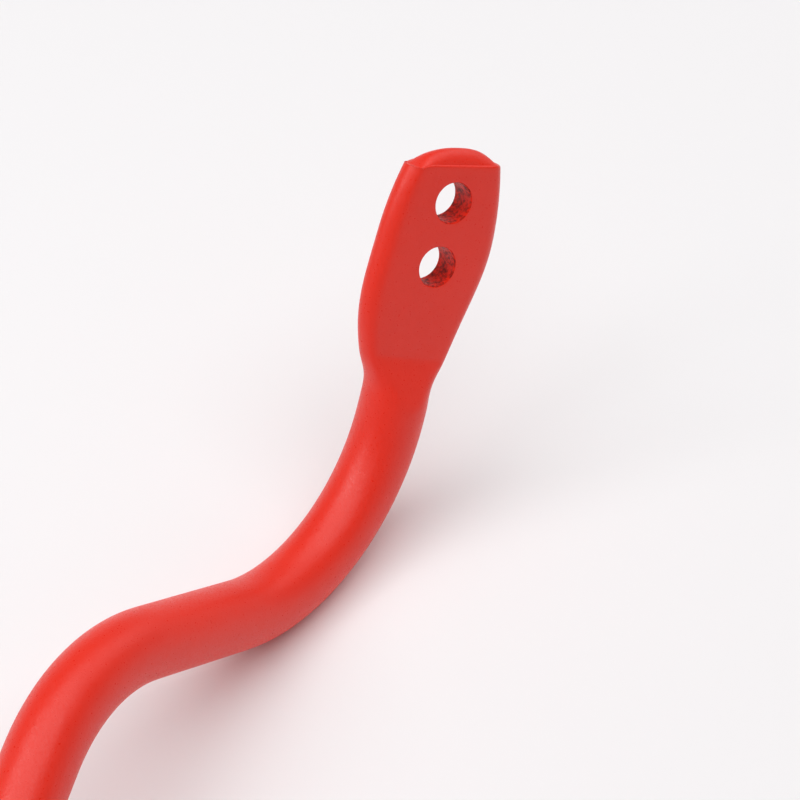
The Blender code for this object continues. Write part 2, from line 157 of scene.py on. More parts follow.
@dataclass(frozen=True)
class BentLine:
    """Straight legs joined by tangent arcs, with a cross direction that never twists.

    Attributes:
        corners: corner points, first and last included.
        radii: radius of the arc at each inner corner.
        across: unit cross direction at the start.
    """

    corners: Array
    radii: tuple[float, ...]
    across: Array

    def pieces(self) -> list[tuple[float, float, Array, Array, Array, Array | None]]:
        """Legs and arcs in order.

        Returns:
            For each piece its start distance, its length, and the point, tangent and cross
            direction where it starts; last the unit axis of the turn times the curvature, or None
            for a straight leg.
        """
        found = []
        start, point, across = 0.0, self.corners[0], self.across
        tangent = unit(self.corners[1] - self.corners[0])
        for i, radius in enumerate(self.radii):
            corner = self.corners[i + 1]
            leaving = unit(self.corners[i + 2] - corner)
            turn = math.acos(float(np.clip(tangent @ leaving, -1.0, 1.0)))
            setback = radius * math.tan(turn / 2)
            length = float((corner - point) @ tangent) - setback
            found.append((start, length, point, tangent, across, None))
            start, point = start + length, point + tangent * length
            axis = unit(np.cross(tangent, leaving))
            found.append((start, radius * turn, point, tangent, across, axis / radius))
            start, point = start + radius * turn, corner + leaving * setback
            across = turned(across, axis, np.array([turn]))[0]
            tangent = leaving
        length = float(np.linalg.norm(self.corners[-1] - point))
        found.append((start, length, point, tangent, across, None))
        return found

    def length(self) -> float:
        """Length along the line."""
        start, length = self.pieces()[-1][:2]
        return start + length

    def stations(self, straight_step: float, bend_step: float) -> Array:
        """Distances along the line for rings of a surface.

        Args:
            straight_step: most between rings on a leg, in metres.
            bend_step: most between rings on an arc, in degrees.

        Returns:
            Rising distances that include both ends of every piece.
        """
        found = [np.zeros(1)]
        for start, length, _, _, _, curve in self.pieces():
            if curve is None:
                count = math.ceil(length / straight_step)
            else:
                turn = math.degrees(length * float(np.linalg.norm(curve)))
                count = math.ceil(turn / bend_step)
            found.append(start + length * np.arange(1, max(1, count) + 1) / max(1, count))
        return np.concatenate(found)

    def place(self, distance: Array, sideways: Array, outwards: Array) -> Array:
        """Points beside the line.

        On a leg the point is start + t s. On an arc about k with radius r it is
        start + r (n (1 - cos s/r) + t sin s/r) with n = k x t, and both cross directions turn
        about k by s/r.

        Args:
            distance: distance along the line.
            sideways: offset along the cross direction.
            outwards: offset at right angles to the cross direction and the line.

        Returns:
            Points, with one more axis than distance.
        """
        distance, sideways, outwards = np.broadcast_arrays(distance, sideways, outwards)
        result = np.empty((*distance.shape, 3))
        pieces = self.pieces()
        for number, (start, length, point, tangent, across, curve) in enumerate(pieces):
            low = -np.inf if number == 0 else start
            high = np.inf if number == len(pieces) - 1 else start + length
            here = (distance >= low) & (distance < high)
            s = distance[here] - start
            if curve is None:
                centre, wide = point + s[:, None] * tangent, np.tile(across, (s.size, 1))
                forward = np.tile(tangent, (s.size, 1))
            else:
                bend = float(np.linalg.norm(curve))
                axis, angle = curve / bend, s * bend
                towards = np.cross(axis, tangent)
                centre = point + (towards * (1 - np.cos(angle))[:, None]
                                  + tangent * np.sin(angle)[:, None]) / bend
                wide, forward = turned(across, axis, angle), turned(tangent, axis, angle)
            out = np.cross(forward, wide)
            result[here] = centre + sideways[here][:, None] * wide + outwards[here][:, None] * out
        return result


class Skin:
    """Closed surface of one piece, sewn from grids of points that meet along their edges."""

    def __init__(self) -> None:
        """Start with no surface."""
        self.quads: list[Array] = []
        self.marks: list[Array] = []

    def add(self, grid: Array, keep: Array | None = None, mark: float = 0.0) -> None:
        """Add the quads between neighbouring points of a grid.

        Args:
            grid: points, rows by columns by 3.
            keep: which quads are wanted, one row and one column less than the grid.
            mark: value of the point attribute "worked", which materials read.
        """
        quads = np.stack((grid[:-1, :-1], grid[1:, :-1], grid[1:, 1:], grid[:-1, 1:]), axis=2)
        chosen = quads.reshape(-1, 4, 3) if keep is None else quads[keep]
        self.quads.append(chosen)
        self.marks.append(np.full(chosen.shape[0] * 4, mark))

    def piece(self, name: str) -> bpy.types.Object:
        """Sew the grids into one mesh object at the origin.

        Points that fall in the same cell of a very fine lattice become one, quads that lose a
        corner become triangles, and all faces are turned outwards.

        Args:
            name: name of the piece.

        Returns:
            The object, shaded smooth with crisp edges where the surface turns sharply.
        """
        points = np.concatenate(self.quads).reshape(-1, 3)
        cells = np.round(points / SEW_GRID + CELL_OFFSET).astype(np.int64)
        _, first, place = np.unique(cells, axis=0, return_index=True, return_inverse=True)
        faces = place.reshape(-1, 4)
        lost = faces == np.roll(faces, -1, axis=1)
        once = lost.sum(axis=1) == 1
        triangles = faces[once][~lost[once]].reshape(-1, 3)
        mesh = bpy.data.meshes.new(name)
        mesh.from_pydata(points[first].tolist(), [], faces[~lost.any(axis=1)].tolist() + triangles.tolist())
        shape = bmesh.new()
        shape.from_mesh(mesh)
        bmesh.ops.recalc_face_normals(shape, faces=shape.faces)
        shape.to_mesh(mesh)
        shape.free()
        worked = mesh.attributes.new("worked", "FLOAT", "POINT")
        worked.data.foreach_set("value", np.concatenate(self.marks)[first].astype(np.float32))
        mesh.shade_smooth()
        mesh.set_sharp_from_angle(angle=math.radians(SHARP_EDGE))
        item = bpy.data.objects.new(name, mesh)
        bpy.context.scene.collection.objects.link(item)
        return item


def rim_angles(rows: int, columns: int) -> Array:
    """Angles on a hole's rim for the points round a block of rows by columns cells.

    Each side of the block takes a quarter of the rim, shared out evenly, in the order in which
    block_border walks.
    """
    sides = (columns, rows, columns, rows)
    starts = (-135.0, -45.0, 45.0, 135.0)
    shares = [start + 90.0 * np.arange(n) / n for start, n in zip(starts, sides)]
    return np.radians(np.concatenate((*shares, np.array([225.0]))))


def block_border(values: Array) -> Array:
    """Values round the edge of a block: first row, last column, last row and first column back."""
    return np.concatenate((values[0, :-1], values[:-1, -1], values[-1, :0:-1], values[::-1, 0]))


def add_drilled_block(
    skin: Skin, across: Array, down: Array, centre: tuple[float, float], radius: float, place: Place
) -> None:
    """Fill a block of a surface round a hole, from the block's border in to the hole's rim.

    Border point and rim point are joined by straight rays, (1 - t) border + t rim.

    Args:
        skin: surface that gets the block.
        across: first coordinate of the block's lattice points; it rises along each row.
        down: second coordinate of the lattice points; it rises from row to row.
        centre: the hole's centre in those coordinates.
        radius: radius of the rim.
        place: gives points in space from the two coordinates.
    """
    angles = rim_angles(across.shape[0] - 1, across.shape[1] - 1)
    share = np.linspace(0.0, 1.0, RAY_POINTS)[:, None]
    first = (1 - share) * block_border(across) + share * (centre[0] + radius * np.cos(angles))
    second = (1 - share) * block_border(down) + share * (centre[1] + radius * np.sin(angles))
    skin.add(place(first, second))


# ---------------------------------------------------------------- finishes


def srgb(code: str) -> tuple[float, float, float, float]:
    """Linear colour, with full opacity, of an sRGB hex code such as "#c81e14"."""
    parts = np.array([int(code[i : i + 2], 16) for i in (1, 3, 5)]) / 255
    linear = np.where(parts <= 0.04045, parts / 12.92, ((parts + 0.055) / 1.055) ** 2.4)
    return (*linear.tolist(), 1.0)


def add_node(
    tree: bpy.types.NodeTree, kind: str, inputs: dict[str | int, object] | None = None, **settings: object
) -> bpy.types.Node:
    """Add a node to a tree.

    Args:
        tree: node tree that gets it.
        kind: the node's type name.
        inputs: for each input a value, or an output socket to link from.
        settings: properties of the node itself.

    Returns:
        The new node.
    """
    made = tree.nodes.new(kind)
    for key, value in settings.items():
        setattr(made, key, value)
    for key, value in (inputs or {}).items():
        if isinstance(value, bpy.types.NodeSocket):
            tree.links.new(value, made.inputs[key])
        else:
            made.inputs[key].default_value = value
    return made


@dataclass(frozen=True)
class Finish:
    """A material and the way that its surface was made.

    Attributes:
        name: material and process.
        colour: sRGB hex of the clean surface.
        shade: sRGB hex towards which the colour drifts in patches.
        roughness: smallest and largest roughness of the surface.
        metallic: 1 for bare or plated metal.
        ior: refractive index of a paint or plastic.
        grain: size of the fine texture, in metres.
        grain_height: height of that texture, in metres.
        patch: size of the colour and gloss patches, in metres.
        slot: the record's material slot; not used.
    """

    name: str
    colour: str
    shade: str
    roughness: tuple[float, float]
    grain: float
    grain_height: float
    patch: float
    slot: str
    metallic: float = 0.0
    ior: float = 1.5

    def material(self) -> bpy.types.Material:
        """The node material, made the first time that it is asked for."""
        found = bpy.data.materials.get(self.name)
        if found is not None:
            return found
        material = bpy.data.materials.new(self.name)
        material.use_nodes = True
        tree = material.node_tree
        shader = tree.nodes["Principled BSDF"]
        shader.inputs["Metallic"].default_value = self.metallic
        if self.metallic == 0.0:
            shader.inputs["IOR"].default_value = self.ior
        self.dress(tree, shader)
        return material

    def dress(self, tree: bpy.types.NodeTree, shader: bpy.types.Node) -> None:
        """Link the shared pattern: patches in colour and gloss, and a fine grain in relief.

        Args:
            tree: the material's nodes.
            shader: its Principled node.
        """
        spot = add_node(tree, "ShaderNodeTexCoord").outputs["Object"]
        patches = self.noise(tree, spot, self.patch, 3.0)
        grain = self.noise(tree, spot, self.grain, 2.0)
        colour = self.mixed(tree, patches, srgb(self.colour), srgb(self.shade))
        tree.links.new(self.worked_colour(tree, spot, colour), shader.inputs["Base Color"])
        low, high = self.roughness
        self.shine(tree, shader)
        rough = add_node(tree, "ShaderNodeMapRange", {"Value": grain, "From Min": 0.3, "From Max": 0.7,
                                                      "To Min": low, "To Max": high})
        tree.links.new(rough.outputs["Result"], shader.inputs["Roughness"])
        bump = add_node(tree, "ShaderNodeBump", {"Strength": 1.0, "Distance": self.grain_height,
                                                 "Height": self.relief(tree, spot, grain)})
        tree.links.new(bump.outputs["Normal"], shader.inputs["Normal"])

    def noise(self, tree: bpy.types.NodeTree, spot: bpy.types.NodeSocket, size: float,
              detail: float) -> bpy.types.NodeSocket:
        """Cloudy noise whose features are about size metres across."""
        made = add_node(tree, "ShaderNodeTexNoise", {"Vector": spot, "Scale": 1.0 / size, "Detail": detail,
                                                     "Roughness": 0.55})
        return made.outputs["Fac"]

    def mixed(self, tree: bpy.types.NodeTree, share: bpy.types.NodeSocket, first: object,
              second: object) -> bpy.types.NodeSocket:
        """Colour between two others, first where the share is low and second where it is high."""
        made = add_node(tree, "ShaderNodeMix", {0: share, 6: first, 7: second}, data_type="RGBA")
        return made.outputs[2]

    def worked_colour(self, tree: bpy.types.NodeTree, spot: bpy.types.NodeSocket,
                      colour: bpy.types.NodeSocket) -> bpy.types.NodeSocket:
        """Colour after what cutting tools did to the surface and any shade painted there; the same unless a
        finish says more.
        """
        return colour

    def shine(self, tree: bpy.types.NodeTree, shader: bpy.types.Node) -> None:
        """Change of the reflection's strength over the piece; none unless a finish says more."""

    def relief(self, tree: bpy.types.NodeTree, spot: bpy.types.NodeSocket,
               grain: bpy.types.NodeSocket) -> bpy.types.NodeSocket:
        """Height pattern of the surface; the fine grain unless a finish says more."""
        return grain


@dataclass(frozen=True)
class PowderCoat(Finish):
    """Baked polyester powder coat: a fine sandy skin over a slow orange-peel swell.

    Attributes:
        swell: width of the orange peel's waves, in metres.
        swell_share: height of the swell against the grain.
        bore_colour: dark red inside the drilled holes, partly thin paint and partly painted shade and painted
            reflection of the dark surroundings.
        bore_shine: strength of its reflection, of which full paint has 0.5.
        thin_patch: size of the dark patches in the bores, partly thin paint and partly painted shade, in
            metres.
        thin_from: level of their noise where a patch begins, and where it is complete.
    """

    swell: float = 0.0035
    swell_share: float = 1.5
    # dark red of the bores: thin powder, with painted shade and painted reflection in it
    bore_colour: str = "#5c0a06"
    bore_shine: float = 0.12
    thin_patch: float = 0.0012
    thin_from: tuple[float, float] = (0.42, 0.72)

    def worked_colour(self, tree: bpy.types.NodeTree, spot: bpy.types.NodeSocket,
                      colour: bpy.types.NodeSocket) -> bpy.types.NodeSocket:
        """Drilled walls darkened in patches: partly thin powder, partly painted shade and painted reflection
        of the dark surroundings inside the holes.
        """
        worked = add_node(tree, "ShaderNodeAttribute", attribute_name="worked").outputs["Fac"]
        patches = self.noise(tree, spot, self.thin_patch, 2.0)
        begin, complete = self.thin_from
        share = add_node(tree, "ShaderNodeMapRange", {"Value": patches, "From Min": begin,
                                                      "From Max": complete, "To Max": worked})
        # mixes in the bores' dark red: thin paint plus painted shade and painted reflection
        return self.mixed(tree, share.outputs["Result"], colour, srgb(self.bore_colour))

    def shine(self, tree: bpy.types.NodeTree, shader: bpy.types.Node) -> None:
        """Thin, dry paint on the drilled walls reflects less than the full film outside."""
        worked = add_node(tree, "ShaderNodeAttribute", attribute_name="worked").outputs["Fac"]
        level = add_node(tree, "ShaderNodeMapRange", {"Value": worked, "To Min": 0.5,
                                                      "To Max": self.bore_shine})
        tree.links.new(level.outputs["Result"], shader.inputs["Specular IOR Level"])

    def relief(self, tree: bpy.types.NodeTree, spot: bpy.types.NodeSocket,
               grain: bpy.types.NodeSocket) -> bpy.types.NodeSocket:
        """Grain plus the slower swell of the baked film."""
        swell = self.noise(tree, spot, self.swell, 1.0)
        total = add_node(tree, "ShaderNodeMath", {0: swell, 1: self.swell_share, 2: grain},
                         operation="MULTIPLY_ADD")
        return total.outputs["Value"]


@dataclass(frozen=True)
class ToolMarked(Finish):
    """Metal with fine parallel lines from rolling, turning or milling.

    Attributes:
        spacing: distance between lines, in metres.
        stretch: how much longer than wide the lines are.
        line_share: height of the lines against the grain.
    """

    spacing: float = 0.0004
    stretch: float = 30.0
    line_share: float = 1.0

    def relief(self, tree: bpy.types.NodeTree, spot: bpy.types.NodeSocket,
               grain: bpy.types.NodeSocket) -> bpy.types.NodeSocket:
        """Grain plus noise drawn out along Y into lines."""
        scale = (1.0, 1.0 / self.stretch, 1.0)
        drawn = add_node(tree, "ShaderNodeMapping", {"Vector": spot, "Scale": scale}).outputs["Vector"]
        lines = self.noise(tree, drawn, self.spacing, 1.0)
        total = add_node(tree, "ShaderNodeMath", {0: lines, 1: self.line_share, 2: grain},
                         operation="MULTIPLY_ADD")
        return total.outputs["Value"]


# Polyester powder coat, baked: bright red with a broad, soft sheen, which the grain roughens a
# little. Powder grains are near 0.05 mm and are drawn twelve times coarser.
RED_POWDER_COAT = PowderCoat(
    name="polyester_powder_coat_baked", colour="#ee2a10", shade="#e4240e", roughness=(0.26, 0.54),
    grain=0.00060, grain_height=0.000055, patch=0.03, slot="powder_coat_red", ior=1.52,
)
# Cast polyurethane, moulded: near black with a soft satin and the faint bloom of its release agent.
BLACK_POLYURETHANE = Finish(
    name="polyurethane_cast", colour="#1b1b1c", shade="#26262a", roughness=(0.42, 0.62),
    grain=0.0006, grain_height=0.00003, patch=0.008, slot="bush_polyurethane", ior=1.5,
)
# Rolled steel, pressed and zinc plated: pale grey with slow cloudy changes and faint rolling lines.
ZINC_PLATED_STEEL = ToolMarked(
    name="steel_pressed_zinc_plated", colour="#c6c9cc", shade="#a9adb4", roughness=(0.26, 0.42),
    grain=0.0007, grain_height=0.00001, patch=0.009, slot="saddle_zinc", metallic=1.0,
)
# Cold-headed steel, zinc plated: brighter and bluer than the pressing.
ZINC_PLATED_FASTENER = ToolMarked(
    name="steel_cold_headed_zinc_plated", colour="#cfd3d8", shade="#b4bac4", roughness=(0.20, 0.34),
    grain=0.0005, grain_height=0.000008, patch=0.005, slot="bolt_zinc", metallic=1.0, stretch=4.0,
)
# Aluminium, milled and clear anodised: matt silver with fine milling lines.
ANODISED_ALUMINIUM = ToolMarked(
    name="aluminium_milled_anodised", colour="#c9cacc", shade="#bcbec2", roughness=(0.28, 0.40),
    grain=0.0004, grain_height=0.000012, patch=0.006, slot="collar_aluminium", metallic=1.0,
    spacing=0.00035, line_share=1.6,
)
# Alloy steel, black oxide dipped: nearly black with a thin oily shine.
BLACK_OXIDE_STEEL = Finish(
    name="steel_black_oxide", colour="#2a2a2e", shade="#1d1d20", roughness=(0.30, 0.46),
    grain=0.0004, grain_height=0.000008, patch=0.003, slot="screw_black", metallic=1.0,
)


def put(item: bpy.types.Object, finish: Finish, body: str, *nodes: str) -> bpy.types.Object:
    """Dress a piece, let it ride on its body and stand for its CAD nodes.

    Args:
        item: the piece.
        finish: its material.
        body: body that it rides on.
        nodes: CAD nodes that it stands for.

    Returns:
        The piece.
    """
    item.data.materials.append(finish.material())
    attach(item, body)
    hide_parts(*nodes)
    log.info("%s on %s: %d faces, %s", item.name, body, len(item.data.polygons), finish.name)
    return item


# ---------------------------------------------------------------- the bar


@dataclass
class SwayBar:
    """One-piece bar: straight centre, two cranked arms, and a forged, drilled paddle on each.

    Distances on the arm run from the tip of the paddle inwards. Offsets across the section are u
    across the paddle's width and v out of its face.
    """

    diameter: float = 0.020
    bend_radius: float = 0.055
    track: float = 1.030
    climb: tuple[float, float, float] = (0.0540, 50.8, 16.0)     # straight, heading, rise
    drop: tuple[float, float, float] = (0.0390, 73.4, -30.4)
    neck: tuple[float, float, float] = (0.0040, 58.9, 56.8)
    thickness: float = 0.009
    side_depth: float = 0.008      # half depth of the oval that bulges the paddle's sides
    crown: float = 0.004
    shoulder_width: float = 0.0305
    belly_width: float = 0.0388
    belly_at: float = 0.030
    heel_width: float = 0.0284
    flat: float = 0.0620
    ramp: float = 0.0145
    hole_diameter: float = 0.012
    hole_at: tuple[float, float] = (0.0150, 0.0340)
    hole_rim: float = 0.0002       # rounding of the drilled edges
    edge: float = 0.0006           # rounding round the forged end
    crease: float = 0.0008         # softness of the forged edges along the faces
    heel_blend: float = 0.0003     # softness of the line between flat and ramp
    # Each ear's trim: its depth, the cosine where it starts and the cosines that it takes
    outer_ear: tuple[float, float, float] = (0.0012, 0.62, 0.34)
    inner_ear: tuple[float, float, float] = (0.0003, 0.80, 0.20)
    dome: tuple[float, float, float] = (0.9, 2.6, 0.8)           # reach, power across, power through
    skew: float = 0.0016           # how far the sheared end runs out of square to each side
    bow: float = 0.0018            # how far the hammered flat wanders sideways below the holes
    bow_span: tuple[float, float] = (0.026, 0.079)
    lead: tuple[float, float] = (0.33, 0.66)       # rings between the end and the first block
    flat_step: float = 0.001       # between rings on the flat
    ramp_step: float = 0.0005      # between rings on the ramp
    ramp_margin: float = 0.004     # how far the close rings go on past the ramp
    leg_step: float = 0.006        # most between rings on a straight leg
    bend_step: float = 2.0         # most between rings on a bend, in degrees
    around: int = 120
    block_rows: tuple[tuple[float, float], ...] = ((0.0065, 0.0245), (0.0245, 0.0435))
    block_columns: tuple[int, int] = (17, 43)
    axis: Array = field(default_factory=lambda: np.array(frame["joints"][0]["pos_m"]) * (0, 1, 1))
    tilt: float = 0.0

    def line(self) -> BentLine:
        """Centre line of the right half, from the tip of the paddle to the middle of the bar."""
        legs = (self.climb, self.drop, (self.neck[0] + self.ramp + self.flat, *self.neck[1:]))
        ways = [ALONG] + [heading(azimuth, rise) for _, azimuth, rise in legs]
        setback = [
            self.bend_radius * math.tan(math.acos(float(a @ b)) / 2) for a, b in zip(ways, ways[1:])
        ] + [0.0]
        runs = [
            (leg[0] + setback[i] + setback[i + 1]) * way for i, (leg, way) in enumerate(zip(legs, ways[1:]))
        ]
        corners = [np.zeros(3), ALONG * (self.track / 2 - sum(runs)[0])]
        for run in runs:
            corners.append(corners[-1] + run)
        down = -ways[-1]
        face = unit(np.cross(down, (0.0, -1.0, 0.0)))
        return BentLine(np.array(corners[::-1]), (self.bend_radius,) * 3, np.cross(face, down))

    def half_width(self, distance: Array) -> Array:
        """Half width of the arm: two parabolas that meet at the belly, eased into the round bar."""
        shoulder, belly, heel = self.shoulder_width / 2, self.belly_width / 2, self.heel_width / 2
        rise = (self.belly_at - distance) / (self.belly_at - self.crown)
        upper = belly - (belly - shoulder) * rise**2
        fall = (distance - self.belly_at) / (self.flat - self.belly_at)
        lower = belly - (belly - heel) * np.minimum(fall, 2.0) ** 2
        width = np.where(distance < self.belly_at, upper, lower)
        return width + (self.diameter / 2 - width) * smooth((distance - self.flat) / self.ramp)

    def section(
        self, distance: Array, cosine: Array, sine: Array, inset: Array | float = 0.0
    ) -> tuple[Array, Array]:
        """Offsets of a point on the section's outline.

        The outline is the oval u = a cos, v = b sin, cut by the two forged faces at +-h with
        rounded corners. a, b and h grow to the round bar's radius over the ramp.

        Args:
            distance: distance from the tip.
            cosine: cosine of the place round the outline.
            sine: its sine.
            inset: how far inside the outline.

        Returns:
            u and v.
        """
        radius = self.diameter / 2
        share = smooth((distance - self.flat) / self.ramp)
        wide = self.half_width(distance) - inset
        deep = self.side_depth + (radius - self.side_depth) * share - inset
        rise = (distance - self.flat) * (radius - self.thickness / 2) / self.ramp
        slope = (rise + np.sqrt(rise**2 + self.heel_blend**2)) / 2
        face = self.thickness / 2 + slope - inset
        oval = deep * sine
        cut = soft_clamp(oval, face, self.crease)
        free = smooth((face - 0.95 * radius) / (0.4 * radius))
        return wide * cosine - self.wander(distance), cut + (oval - cut) * free

    def wander(self, distance: Array) -> Array:
        """Sideways bow of the hammered flat: a squared sine over its span."""
        low, high = self.bow_span
        return self.bow * np.sin(math.pi * np.clip((distance - low) / (high - low), 0.0, 1.0)) ** 2

    def face_height(self, distance: Array, u: Array) -> Array:
        """Height of the forged face at u across it."""
        cosine = (u + self.wander(distance)) / self.half_width(distance)
        return self.section(distance, cosine, np.sqrt(np.clip(1 - cosine**2, 0.0, 1.0)))[1]

    def end_distance(self, distance: float, cosine: Array) -> Array:
        """Distance from the tip of the rim round the end: out of square, with two trimmed ears."""
        depth, start, span = self.outer_ear
        outer = depth * smooth((-cosine - start) / span)
        depth, start, span = self.inner_ear
        inner = depth * smooth((cosine - start) / span)
        return distance - self.skew * cosine + outer + inner

    def to_frame(self, points: Array) -> Array:
        """Points of the bar's own frame turned about its axis and put on the mountings' axis."""
        return turned(points, ALONG, np.full(points.shape[:-1], self.tilt)) + self.axis

    def rings(self, line: BentLine) -> tuple[Array, Array]:
        """Distances and insets of every ring of the right half.

        Returns:
            Distances, rings by places round the section, and insets, one for each ring.
        """
        angles = np.arange(self.around + 1) * 2 * math.pi / self.around
        end = self.end_distance(self.crown, np.cos(angles))
        rounding = end + self.edge * (1 - np.cos(ROUND_STEPS))[:, None]
        first = self.block_rows[0][0]
        lead = rounding[-1] + (first - rounding[-1]) * np.array(self.lead)[:, None]
        fixed = [
            np.linspace(low, high, round((high - low) / self.flat_step) + 1)[:-1]
            for low, high in self.block_rows
        ]
        last = self.block_rows[-1][1]
        fixed.append(np.arange(last, self.flat - 1.5 * self.flat_step, self.flat_step))
        ramp_end = self.flat + self.ramp + self.ramp_margin
        fixed.append(np.arange(self.flat - self.flat_step, ramp_end, self.ramp_step))
        rest = line.stations(self.leg_step, self.bend_step)
        fixed.append(rest[rest > ramp_end + 0.0002])
        fixed = np.concatenate(fixed)[:, None] + np.zeros(self.around + 1)
        distances = np.concatenate((rounding, lead, fixed))
        insets = np.zeros(len(distances))
        insets[:EDGE_ROWS] = self.edge * (1 - np.sin(ROUND_STEPS))
        return distances, insets

    def end_cap(self, line: BentLine) -> Array:
        """Forged end of the paddle: a ladder of points from one face's rim to the other's.

        Along each rung the surface bulges towards the tip by crown (1 - |u / r a|^m) (1 - q^2)^n,
        with q from 1 at one face to -1 at the other, and r, m and n the three values of dome.
        """
        angles = np.arange(self.around // 2 + 1)[:, None] * 2 * math.pi / self.around
        q = np.sin(np.linspace(math.pi / 2, -math.pi / 2, 19))
        end = self.end_distance(self.crown, np.cos(angles))
        u, v = self.section(end, np.cos(angles), np.sin(angles), self.edge)
        reach, across, through = self.dome
        bulge = self.crown * np.clip(1 - np.abs(np.cos(angles) / reach) ** across, 0.0, 1.0)
        return line.place(end - bulge * (1 - q**2) ** through, u, v * q)

    def rest_tilt(self, points: Array, ground: float) -> float:
        """Turn about the bar's axis that puts its lowest point on the ground, found by halving."""
        low, high = -math.pi / 6, math.pi / 6
        for _ in range(50):
            middle = (low + high) / 2
            level = (points[..., 1] * math.sin(middle) + points[..., 2] * math.cos(middle)).min()
            low, high = (low, middle) if level + self.axis[2] < ground else (middle, high)
        return (low + high) / 2

    def build(self) -> bpy.types.Object:
        """Make the whole bar: the right half, its mirror image, and the drilled holes of both.

        Returns:
            The finished piece.
        """
        line = self.line()
        distances, insets = self.rings(line)
        angles = np.arange(self.around + 1) * 2 * math.pi / self.around
        cosine, sine = np.cos(angles), np.sin(angles)
        u, v = self.section(distances, cosine, sine, insets[:, None])
        tube = line.place(distances, u, v)
        self.tilt = self.rest_tilt(tube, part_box("sway_bar")[0].z)
        half = Skin()
        keep = np.ones((len(distances) - 1, self.around), bool)
        left, right = self.block_columns
        for (low, high), centre in zip(self.block_rows, self.hole_at):
            rows = np.flatnonzero((distances[:, 0] > low - 1e-6) & (distances[:, 0] < high + 1e-6))
            rows = rows[rows >= EDGE_ROWS + len(self.lead)]
            top, bottom = rows[0], rows[-1]
            keep[top:bottom, left:right] = False
            keep[top:bottom, self.around - right : self.around - left] = False
            lattice = (slice(top, bottom + 1), slice(right, left - 1, -1))
            self.drill(half, line, u[lattice], distances[lattice], centre)
        half.add(tube, keep)
        half.add(self.end_cap(line))
        whole = Skin()
        for points, mark in zip(half.quads, half.marks):
            for mirror in (1, -1):
                whole.quads.append(self.to_frame(points * (mirror, 1, 1)))
                whole.marks.append(mark)
        item = whole.piece("sway_bar_forged")
        return put(item, RED_POWDER_COAT, "bar", "sway_bar")

    def drill(self, skin: Skin, line: BentLine, u: Array, distances: Array, centre: float) -> None:
        """One link hole: both faces round it, its rounded rims and its wall.

        Args:
            skin: surface of the half bar.
            line: its centre line.
            u: offsets across of the block's lattice points, rising along each row.
            distances: their distances from the tip.
            centre: distance of the hole from the tip.
        """
        radius, rim = self.hole_diameter / 2, self.hole_rim
        for way in (1, -1):
            add_drilled_block(
                skin, u, distances, (0.0, centre), radius + rim,
                lambda a, d, way=way: line.place(d, a, way * self.face_height(d, a)),
            )
        angles = rim_angles(u.shape[0] - 1, u.shape[1] - 1)
        height = self.face_height(centre + (radius + rim) * np.sin(angles), (radius + rim) * np.cos(angles))
        reach = radius + rim * (1 - np.sin(ROUND_STEPS))[:, None]
        level = height - rim * (1 - np.cos(ROUND_STEPS))[:, None]
        wall = np.linspace(1.0, -1.0, 13)[1:-1, None] * (height - rim)
        reach = np.concatenate((reach, np.full((11, 1), radius), reach[::-1]))
        level = np.concatenate((level, wall, -level[::-1]))
        # the mark makes the paint here dark in patches: thin powder plus painted shade and painted reflection
        skin.add(line.place(centre + reach * np.sin(angles), reach * np.cos(angles), level), mark=1.0)


# ---------------------------------------------------------------- fasteners and mountings


def add_turned(skin: Skin, centre: Array, reach: Array, level: Array) -> None:
    """Surface of revolution about a vertical axis.

    The point is centre + (r cos a, r sin a, z) for each row of r and z; r may change with the
    angle a, as on a hexagon or a thread.

    Args:
        skin: surface that gets it.
        centre: point on the axis.
        reach: r, rows by angles; the first and last angle are the same.
        level: z, one for each row, or rows by angles.
    """
    angles = np.linspace(0.0, 2 * math.pi, reach.shape[1])
    angles[-1] = 0.0
    level = np.broadcast_to(level, reach.shape)
    skin.add(centre + np.stack((reach * np.cos(angles), reach * np.sin(angles), level), axis=-1))


def hexagon(across_flats: float, count: int, corner: float = 0.0) -> Array:
    """Reach of a hexagon at evenly spaced angles, its corners held back by corner.

    The reach is half the width across flats over the cosine of the angle from the nearest flat.
    """
    angles = np.linspace(0.0, 2 * math.pi, count + 1)
    nearest = (angles + math.pi / 6) % (math.pi / 3) - math.pi / 6
    return np.minimum(across_flats / 2 / np.cos(nearest), across_flats / math.sqrt(3) - corner)


def rows_of(*stations: tuple[float, float]) -> tuple[Array, Array]:
    """Reach and level columns of a turned profile from its (reach, level) stations."""
    table = np.array(stations)
    return table[:, :1], table[:, 1:]


@dataclass
class Thread:
    """Metric thread on a vertical axis.

    Attributes:
        diameter: over the crests.
        pitch: rise of one turn.
        low: level where it starts.
        high: level where it ends, at the chamfered tip.
        tip: depth of the chamfer at the tip.
    """

    diameter: float
    pitch: float
    low: float
    high: float
    tip: float
    rows_per_turn: int = 8

    def profile(self, count: int) -> tuple[Array, Array]:
        """Reach and levels of the thread for count angles.

        r = crest - depth (0.5 + 0.5 w), where w is a triangle wave, slightly flattened, of
        z / pitch - a / 2 pi; the depth fades in over one turn at the root and at the tip.

        Returns:
            Reach, rows by angles, and levels, one for each row.
        """
        rows = round((self.high - self.low) / self.pitch * self.rows_per_turn)
        level = np.linspace(self.low, self.high, rows + 1)[:, None]
        angles = np.linspace(0.0, 1.0, count + 1)
        phase = (level / self.pitch - angles) % 1.0
        wave = np.clip(np.abs(phase * 4 - 2) - 1, -0.75, 0.75) / 0.75
        depth = 0.61 * self.pitch * smooth((level - self.low) / self.pitch)
        reach = self.diameter / 2 - depth * (0.5 + 0.5 * wave)
        cone = self.diameter / 2 - self.tip + (self.high - level)
        return np.minimum(reach, cone), level


